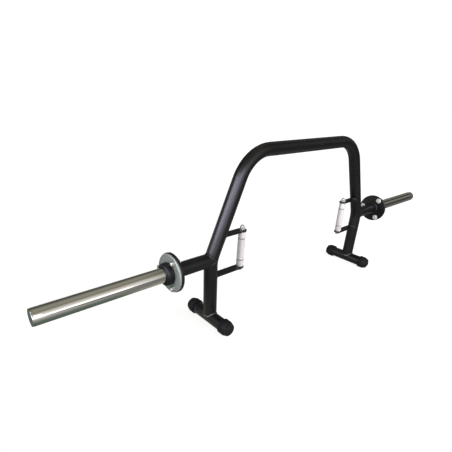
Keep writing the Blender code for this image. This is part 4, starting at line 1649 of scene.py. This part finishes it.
@dataclass
class Handle(Assembly):
    """The two flat arms on a leg and the bolt that holds the grip between them.

    Attributes:
        foot_height: height of the domed nut's hexagon.
        neck_depth: how far the dome reaches into it.
        reach: how far past an arm's free end the leg's skin is looked for.
        weld_lean: how far the arms' beads face away from the leg, and weld_tilt how far across.
        plan_points: points of the arm's plan on its round end and on each side.
        section_points: points of its section on a round end and on each flat.
    """

    tube: FrameTube
    arm_width: float = 0.032
    arm_edge: float = 0.0012
    bolt_flats: float = 0.017
    shank_radius: float = 0.005
    shank_start: float = 0.002
    seat_gap: float = 0.0003
    washer_play: float = 0.0003
    washer_edge: float = 0.0003
    foot_height: float = 0.0075
    neck_depth: float = 0.0012
    dome_radius: float = 0.00775
    dome_steps: int = 14
    nut_play: float = 0.0002
    head_turn: float = 0.3
    nut_turn: float = 0.1
    arm_bead: Bead = Bead(width=0.0030, height=0.0018, ripple=0.002)
    reach: float = 0.02
    weld_lean: float = 0.8
    weld_tilt: float = 0.5
    edge_points: int = 5
    plan_points: tuple[int, int] = (32, 10)
    section_points: tuple[int, int] = (9, 24)

    def build(self) -> None:
        """Build both arms, the bolt, its washers and the domed nut."""
        for level in Level:
            self._arm(level)
        self._bolt()

    def _outline(self, free: float, leg: float, inset: float) -> Array:
        """The arm's plan: a half circle at the free end, then two straight sides to the leg.

        A half circle point is (x - r * cos(a), r * sin(a)).

        Args:
            free: how far from the bar's middle the free end is.
            leg: the same for the end at the leg.
            inset: how far the plan is drawn in.

        Returns:
            The closed plan as points of (x, y).
        """
        half = self.arm_width / 2
        radius = half - inset
        angle = np.linspace(-math.pi / 2, math.pi / 2, self.plan_points[0])
        round_end = np.column_stack((free + half - radius * np.cos(angle), radius * np.sin(angle)))
        share = np.linspace(0, 1, self.plan_points[1])[1:, None]
        start = round_end[-1]
        top = start + share * (np.array((leg, radius)) - start)
        return np.vstack((round_end, top, (top * (1, -1))[::-1]))

    def _arm(self, level: Level) -> None:
        """Build one arm and the weld bead where it meets the leg.

        The arm's skin is its plan outline drawn in by r * (1 - cos(a)) while the height moves
        through the thickness's rounded edge, r * sin(a).

        Args:
            level: which arm.
        """
        side, word = self.side.value, level.value
        box = self.box("handle_arm", word)
        free, leg = box.ends()
        low, high, edge = box.low[2], box.high[2], self.arm_edge
        angle = np.radians(np.linspace(0, 90, self.edge_points))
        insets = edge * (1 - np.concatenate((np.sin(angle), np.cos(angle))))
        heights = np.concatenate((low + edge * (1 - np.cos(angle)), high - edge
                                  + edge * np.sin(angle)))
        plan = np.stack([self._outline(free, leg, inset) for inset in insets])
        levels = np.broadcast_to(heights[:, None, None], plan.shape[:2] + (1,))
        points = np.concatenate((plan * (side, 1.0), levels), axis=-1)
        self.keep(self.at(f"flat_arm_{word}"), [Surface(points)], POWDER_BLACK,
                  self.at("handle_arm", word))
        y, z = self._section(low, high)
        x = self.tube.meeting(self.side, y, z, leg, free + self.reach)
        facing = np.column_stack((np.zeros(len(y)), y / self.arm_width * self.weld_tilt,
                                  z - (low + high) / 2))
        facing /= np.linalg.norm(facing, axis=1)[:, None]
        facing[:, 0] -= self.weld_lean * side
        bead = self.arm_bead.along(np.column_stack((x, y, z)), facing)
        self.keep(self.at(f"arm_weld_{word}"), [bead], WELD_BLACK)

    def _section(self, low: float, high: float) -> tuple[Array, Array]:
        """The arm's cross section: a rectangle with round ends.

        Args:
            low: the height of the arm's underside.
            high: the height of its top.

        Returns:
            The Y and the Z of a closed loop of points.
        """
        radius, middle = (high - low) / 2, (low + high) / 2
        straight = self.arm_width / 2 - radius
        angle = np.linspace(-math.pi / 2, math.pi / 2, self.section_points[0])
        along = np.linspace(-1, 1, self.section_points[1])[1:-1] * straight
        end_y, end_z = straight + radius * np.cos(angle), middle + radius * np.sin(angle)
        y = np.concatenate((end_y, -along, -end_y, along))
        z = np.concatenate((end_z, np.full(len(along), high), 2 * middle - end_z,
                            np.full(len(along), low)))
        return y, z

    def _bolt(self) -> None:
        """Build the long bolt, both washers and the domed nut."""
        box, nut = self.box("handle_bolt"), self.box("cap_nut")
        axis = Axis.through(box, (0.0, 0.0, 1.0))
        washers = {name: self.box(name) for name in ("handle_bolt_washer", "cap_nut_washer")}
        head_top = washers["handle_bolt_washer"].low[2] - self.seat_gap
        head = hexagon(axis, box.low[2], head_top, self.bolt_flats, (True, True), self.head_turn)
        shank = rod(axis, box.low[2] + self.shank_start, box.high[2], self.shank_radius,
                    SHANK_SIDES)
        self._keep_bright("long_bolt", [head, shank], "handle_bolt")
        for name, place in washers.items():
            washer = ring(axis, place.low[2], place.high[2], place.half[0],
                          self.shank_radius + self.washer_play, self.washer_edge, WASHER_SIDES)
            self._keep_bright(f"{name}_fine", [washer], name)
        foot_top = nut.low[2] + self.foot_height
        foot = hexagon(axis, nut.low[2], foot_top, self.bolt_flats, (True, True), self.nut_turn,
                       self.shank_radius + self.nut_play)
        dome, neck, top = self.dome_radius, foot_top - self.neck_depth, nut.high[2]
        profile = [(neck, 0.0), (neck, dome), (top - dome, dome)]
        profile += front_rim(top, dome, dome, self.dome_steps)
        self._keep_bright("acorn_nut", [foot, revolve(axis, profile, RIM_SIDES)], "cap_nut")

    def _keep_bright(self, name: str, surfaces: Sequence[Surface], node: str) -> None:
        """Keep a bright fastener."""
        self.keep(self.at(name), surfaces, BRIGHT_ZINC, self.at(node),
                  sharp_degrees=FASTENER_EDGE)


# Studio


def stand(name: str, data: bpy.types.ID, axes: Sequence[Array], place: Triple) -> bpy.types.Object:
    """Put a camera or a lamp into the scene.

    Args:
        name: its object's name.
        data: the camera or lamp.
        axes: its right, upward and backward directions.
        place: where it stands.

    Returns:
        The new object.
    """
    thing = bpy.data.objects.new(name, data)
    turned = np.eye(4)
    turned[:3, :3] = np.column_stack(axes)
    turned[:3, 3] = place
    thing.matrix_world = Matrix(turned.tolist())
    bpy.context.scene.collection.objects.link(thing)
    return thing


@dataclass(frozen=True)
class PhotoCamera:
    """A camera fitted to the photograph: angles in degrees and a place in metres."""

    image: int = 452
    focal_pixels: float = 366.471
    centre_u: float = 208.104
    centre_v: float = 238.226
    yaw: float = 40.0615
    pitch: float = 22.4522
    roll: float = -2.4483
    place: Triple = (-1.2297, -0.8779, 0.8245)
    sensor: float = 36.0
    farthest: float = 200.0

    def build(self) -> None:
        """Create the camera and make it the scene's own.

        Its forward direction is (sin yaw cos pitch, cos yaw cos pitch, -sin pitch), and its right
        and down directions turn about that by the roll.
        """
        yaw, pitch, roll = (math.radians(value) for value in (self.yaw, self.pitch, self.roll))
        forward = np.array((math.sin(yaw) * math.cos(pitch), math.cos(yaw) * math.cos(pitch),
                            -math.sin(pitch)))
        level = np.array((math.cos(yaw), -math.sin(yaw), 0.0))
        plumb = np.cross(forward, level)
        right = math.cos(roll) * level + math.sin(roll) * plumb
        down = -math.sin(roll) * level + math.cos(roll) * plumb
        lens = bpy.data.cameras.new("photo_camera")
        lens.sensor_fit = "HORIZONTAL"
        lens.sensor_width = self.sensor
        lens.lens = self.focal_pixels * self.sensor / self.image
        lens.shift_x = (self.image / 2 - self.centre_u) / self.image
        lens.shift_y = (self.centre_v - self.image / 2) / self.image
        lens.clip_end = self.farthest
        camera = stand("photo_camera", lens, (right, -down, -forward), self.place)
        bpy.context.scene.camera = camera


@dataclass(frozen=True)
class SoftLight:
    """A rectangular soft light aimed at a point.

    Attributes:
        radiance: how bright its face is.
        mirrored: whether polished surfaces show it.
        lighting: whether it lights surfaces that aren't polished.
    """

    name: str
    place: Triple
    aim: Triple
    width: float
    height: float
    radiance: float
    tint: Triple = (1.0, 1.0, 1.0)
    mirrored: bool = True
    lighting: bool = True

    def build(self) -> None:
        """Create the light, with the power that gives its radiance over its area."""
        lamp = bpy.data.lights.new(self.name, "AREA")
        lamp.shape = "RECTANGLE"
        lamp.size, lamp.size_y = self.width, self.height
        lamp.energy = self.radiance * math.pi * self.width * self.height
        lamp.color = self.tint
        back = np.array(self.place) - np.array(self.aim)
        back /= np.linalg.norm(back)
        side = np.cross((0.0, 0.0, 1.0), back)
        side /= np.linalg.norm(side)
        light = stand(self.name, lamp, (side, np.cross(back, side), back), self.place)
        light.visible_glossy = self.mirrored
        light.visible_diffuse = self.lighting


LIGHTS = (
    SoftLight("front_window", place=(-0.7, -3.0, 0.82), aim=(-0.7, 0.0, 0.5), width=2.4,
              height=1.1, radiance=1.22),
    SoftLight("side_window", place=(-2.90, -0.14, 1.385), aim=(-0.42, 0.0, 0.45), width=2.4,
              height=1.2, radiance=9.2, tint=(0.94, 0.92, 1.12), lighting=False),
    SoftLight("corner_window", place=(-2.05, -2.10, 1.55), aim=(-0.42, 0.0, 0.45), width=2.0,
              height=0.90, radiance=8.5, tint=(0.95, 0.91, 1.22), lighting=False),
    SoftLight("far_fill", place=(1.6, -2.2, 0.9), aim=(0.0, 0.0, 0.25), width=1.5, height=1.5,
              radiance=8.5, mirrored=False),
    SoftLight("inner_fill", place=(0.05, -0.70, 0.55), aim=(0.33, 0.0, 0.27), width=0.4,
              height=0.4, radiance=5.5, mirrored=False),
    SoftLight("fill", place=(-1.2, -1.6, 3.2), aim=(0.0, 0.0, 0.3), width=3.0, height=3.0,
              radiance=0.5, mirrored=False))
# The room's stops are degrees up from the near horizon. The floor's run from 0 at the bar
# towards 1 far out in front of it.
ROOM_GLOW: Stops = (
    (0, (1.08, 1.05, 1.02)), (8, (1.20, 1.17, 1.16)), (19, (1.22, 1.18, 1.15)),
    (32, (1.03, 0.98, 0.93)), (45, (0.83, 0.79, 0.72)), (52, (0.62, 0.58, 0.52)),
    (59, (0.48, 0.45, 0.40)), (65, (0.33, 0.31, 0.26)), (73, (0.29, 0.28, 0.22)),
    (80, (0.38, 0.37, 0.29)), (102, (0.39, 0.385, 0.31)), (114, (0.36, 0.35, 0.30)),
    (124, (0.24, 0.235, 0.20)), (132, (0.13, 0.13, 0.11)), (152, (0.12, 0.12, 0.10)),
    (165, (0.10, 0.10, 0.09)), (180, (0.11, 0.11, 0.10)))
FAR_END_GLOW: Stops = (
    (0, (0.07, 0.07, 0.06)), (10, (0.07, 0.07, 0.06)), (30, (0.29, 0.27, 0.245)),
    (56, (0.27, 0.26, 0.225)), (78, (0.045, 0.045, 0.04)), (94, (0.045, 0.045, 0.04)),
    (112, (0.26, 0.25, 0.235)), (125, (0.32, 0.31, 0.295)), (145, (0.07, 0.07, 0.06)),
    (180, (0.15, 0.15, 0.14)))
SIDE_WALL: Triple = (0.36, 0.37, 0.36)
FLOOR_GLOW: Stops = (
    (0.0, (0.13, 0.165, 0.135)), (0.104, (0.14, 0.185, 0.15)), (0.24, (0.17, 0.21, 0.18)),
    (0.355, (0.29, 0.31, 0.285)), (0.52, (0.50, 0.505, 0.48)), (0.745, (0.75, 0.74, 0.71)),
    (0.893, (1.0, 0.98, 0.94)), (1.0, (1.22, 1.19, 1.14)))
FLOOR_GLOW_INSIDE: Stops = (
    (0.0, (0.52, 0.50, 0.44)), (0.104, (0.46, 0.45, 0.40)), (0.24, (0.35, 0.34, 0.31)),
    (0.355, (0.25, 0.245, 0.23)), (0.52, (0.34, 0.34, 0.33)), (0.745, (0.40, 0.39, 0.38)),
    (0.893, (0.50, 0.49, 0.47)), (1.0, (0.62, 0.61, 0.59)))
MIDDLE_FLOOR: Triple = (0.27, 0.265, 0.25)
FAR_FLOOR_GLOW: Stops = (
    (0.0, (0.13, 0.13, 0.12)), (0.24, (0.22, 0.215, 0.205)), (0.5, (0.085, 0.085, 0.075)),
    (1.0, (0.06, 0.06, 0.055)))
WHITE: Triple = (1.0, 1.0, 1.0)


@dataclass
class Studio:
    """The camera, the soft lights, the room's own glow and the pale floor.

    A pair of numbers is where a change starts and where it is complete. In the room they are parts
    of a ray's unit direction, and on the floor they are metres.

    Attributes:
        room_far_end: along X, the room's far end takes over.
        room_wall: along X, the plain wall takes over.
        room_behind: along Y, the backdrop is white paper to polished surfaces.
        room_low: along Z, that paper ends.
        floor_inside: along X, the floor inside the near leg starts.
        floor_middle: along X, the floor under the middle starts.
        floor_far_end: along X, the floor past the far end starts.
        floor_behind: along Y, the floor is white paper to polished surfaces.
        floor_edge: from the middle, the paper's glow grows to its full value.
        floor_dim: that glow under the object and at full value.
        floor_half_way: how far in front the floor's ramps are half run through.
        floor_bounce: the floor's colour for the light that it throws back.
        floor_paper: the floor's own colour, which keeps a faint shadow.
        floor_size: half the floor's edge.
    """

    camera: PhotoCamera = PhotoCamera()
    lights: tuple[SoftLight, ...] = LIGHTS
    room_far_end: Span = (0.41, 0.54)
    room_wall: Span = (-0.72, -0.95)
    room_behind: Span = (0.15, 0.4)
    room_low: Span = (0.0, 0.04)
    floor_inside: Span = (-0.77, -0.56)
    floor_middle: Span = (-0.54, -0.36)
    floor_far_end: Span = (0.6, 1.3)
    floor_behind: Span = (1.3, 2.2)
    floor_edge: Span = (1.2, 2.8)
    floor_dim: Span = (0.88, 1.0)
    floor_half_way: float = 0.6
    floor_bounce: Triple = (0.75, 0.75, 0.74)
    floor_paper: Triple = (0.3, 0.3, 0.3)
    floor_size: float = 30.0

    def build(self) -> None:
        """Create everything round the object."""
        self.camera.build()
        for light in self.lights:
            light.build()
        self._room()
        self._floor()

    def _room(self) -> None:
        """The room's glow, read by the angle from the near horizon over the top to the far one.

        Straight out along X that angle means nothing, so the glow fades into a plain wall there.
        """
        world = bpy.data.worlds.new("studio_room")
        bpy.context.scene.world = world
        board = NodeBoard(cleared(world))
        x, back, up = board.split(board.add("ShaderNodeTexCoord").outputs["Generated"])
        near = board.maths("MULTIPLY", back, -1.0)
        angle = board.maths("ARCTAN2", board.maths("MAXIMUM", up, 0.0), near)
        glow, far_end = (
            board.ramp(angle, [(math.radians(place), colour) for place, colour in stops], math.pi)
            for stops in (ROOM_GLOW, FAR_END_GLOW))
        room = board.blended(board.ranged(x, self.room_far_end, smooth=True), glow, far_end)
        room = board.blended(board.ranged(x, self.room_wall, smooth=True), room, SIDE_WALL)
        low = board.ranged(up, self.room_low, (1.0, 0.0), smooth=True)
        behind = board.maths("MULTIPLY", board.ranged(back, self.room_behind, smooth=True), low)
        colour = board.blended(self._white_share(board, behind), room, WHITE)
        shader = board.add("ShaderNodeBackground", Color=colour, Strength=1.0)
        board.add("ShaderNodeOutputWorld", Surface=shader.outputs[0])

    @staticmethod
    def _white_share(board: NodeBoard, behind: Socket) -> Socket:
        """How far the ground shows as white paper.

        It does to the camera and through glass, and in metal where it stands behind the object.

        Args:
            board: the world's or the floor's board.
            behind: how far a place is behind the object.

        Returns:
            The share from 0 to 1.
        """
        path = board.add("ShaderNodeLightPath").outputs
        mirrored = board.maths("MULTIPLY", path["Is Glossy Ray"], behind)
        seen = board.maths("MAXIMUM", path["Is Camera Ray"], path["Is Transmission Ray"])
        return board.maths("MAXIMUM", seen, mirrored)

    def _floor(self) -> None:
        """The pale floor: white paper that keeps a faint shadow, and a plain dim floor in metal.

        Polished surfaces see its ramps, read by how far in front of the bar a place is, and the
        light that it throws back has one plain colour.
        """
        half = self.floor_size
        mesh = bpy.data.meshes.new("studio_floor")
        mesh.from_pydata([(-half, -half, 0), (half, -half, 0), (half, half, 0), (-half, half, 0)],
                         [], [(0, 1, 2, 3)])
        floor = bpy.data.objects.new("studio_floor", mesh)
        bpy.context.scene.collection.objects.link(floor)
        material = bpy.data.materials.new("pale_floor")
        board = NodeBoard(cleared(material))
        where = board.add("ShaderNodeTexCoord").outputs["Object"]
        x, y, _ = board.split(where)
        nearer = board.maths("MAXIMUM", board.maths("MULTIPLY", y, -1.0), 0.0)
        share = board.maths("DIVIDE", nearer, board.maths("ADD", nearer, self.floor_half_way))
        dim = board.ramp(share, FLOOR_GLOW)
        for limits, stops in ((self.floor_inside, FLOOR_GLOW_INSIDE), (self.floor_middle, None),
                              (self.floor_far_end, FAR_FLOOR_GLOW)):
            further = board.ramp(share, stops) if stops else MIDDLE_FLOOR
            dim = board.blended(board.ranged(x, limits, smooth=True), dim, further)
        spread = board.add("ShaderNodeLightPath").outputs["Is Diffuse Ray"]
        dim = board.blended(spread, dim, self.floor_bounce)
        white = self._white_share(board, board.ranged(y, self.floor_behind, smooth=True))
        reach = board.add("ShaderNodeVectorMath", where, settings={"operation": "LENGTH"})
        paper_glow = board.ranged(reach.outputs["Value"], self.floor_edge, self.floor_dim)
        glow = board.add("ShaderNodeEmission", Color=board.blended(white, dim, paper_glow),
                         Strength=1.0)
        paper = board.add("ShaderNodeBsdfDiffuse", Color=self.floor_paper)
        both = board.add("ShaderNodeAddShader", glow.outputs[0], paper.outputs[0])
        choice = board.add("ShaderNodeMixShader", white, glow.outputs[0], both.outputs[0])
        board.add("ShaderNodeOutputMaterial", Surface=choice.outputs[0])
        mesh.materials.append(material)


def main() -> None:
    """Build the studio, then the trap bar from its frame outwards."""
    logging.basicConfig(level=logging.INFO, format="%(name)s: %(message)s")
    bpy.context.scene.view_settings.view_transform = "Standard"
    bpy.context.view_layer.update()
    Studio().build()
    palette = Palette()
    palette.dress_frame()
    tube = FrameTube(palette, None)
    tube.build()
    for side in Side:
        Stub(palette, side, tube).build()
        Foot(palette, side, tube).build()
        FlangeJoint(palette, side).build()
        Sleeve(palette, side).build()
        Grip(palette, side).build()
        Handle(palette, side, tube).build()


if __name__ == "__main__":
    main()
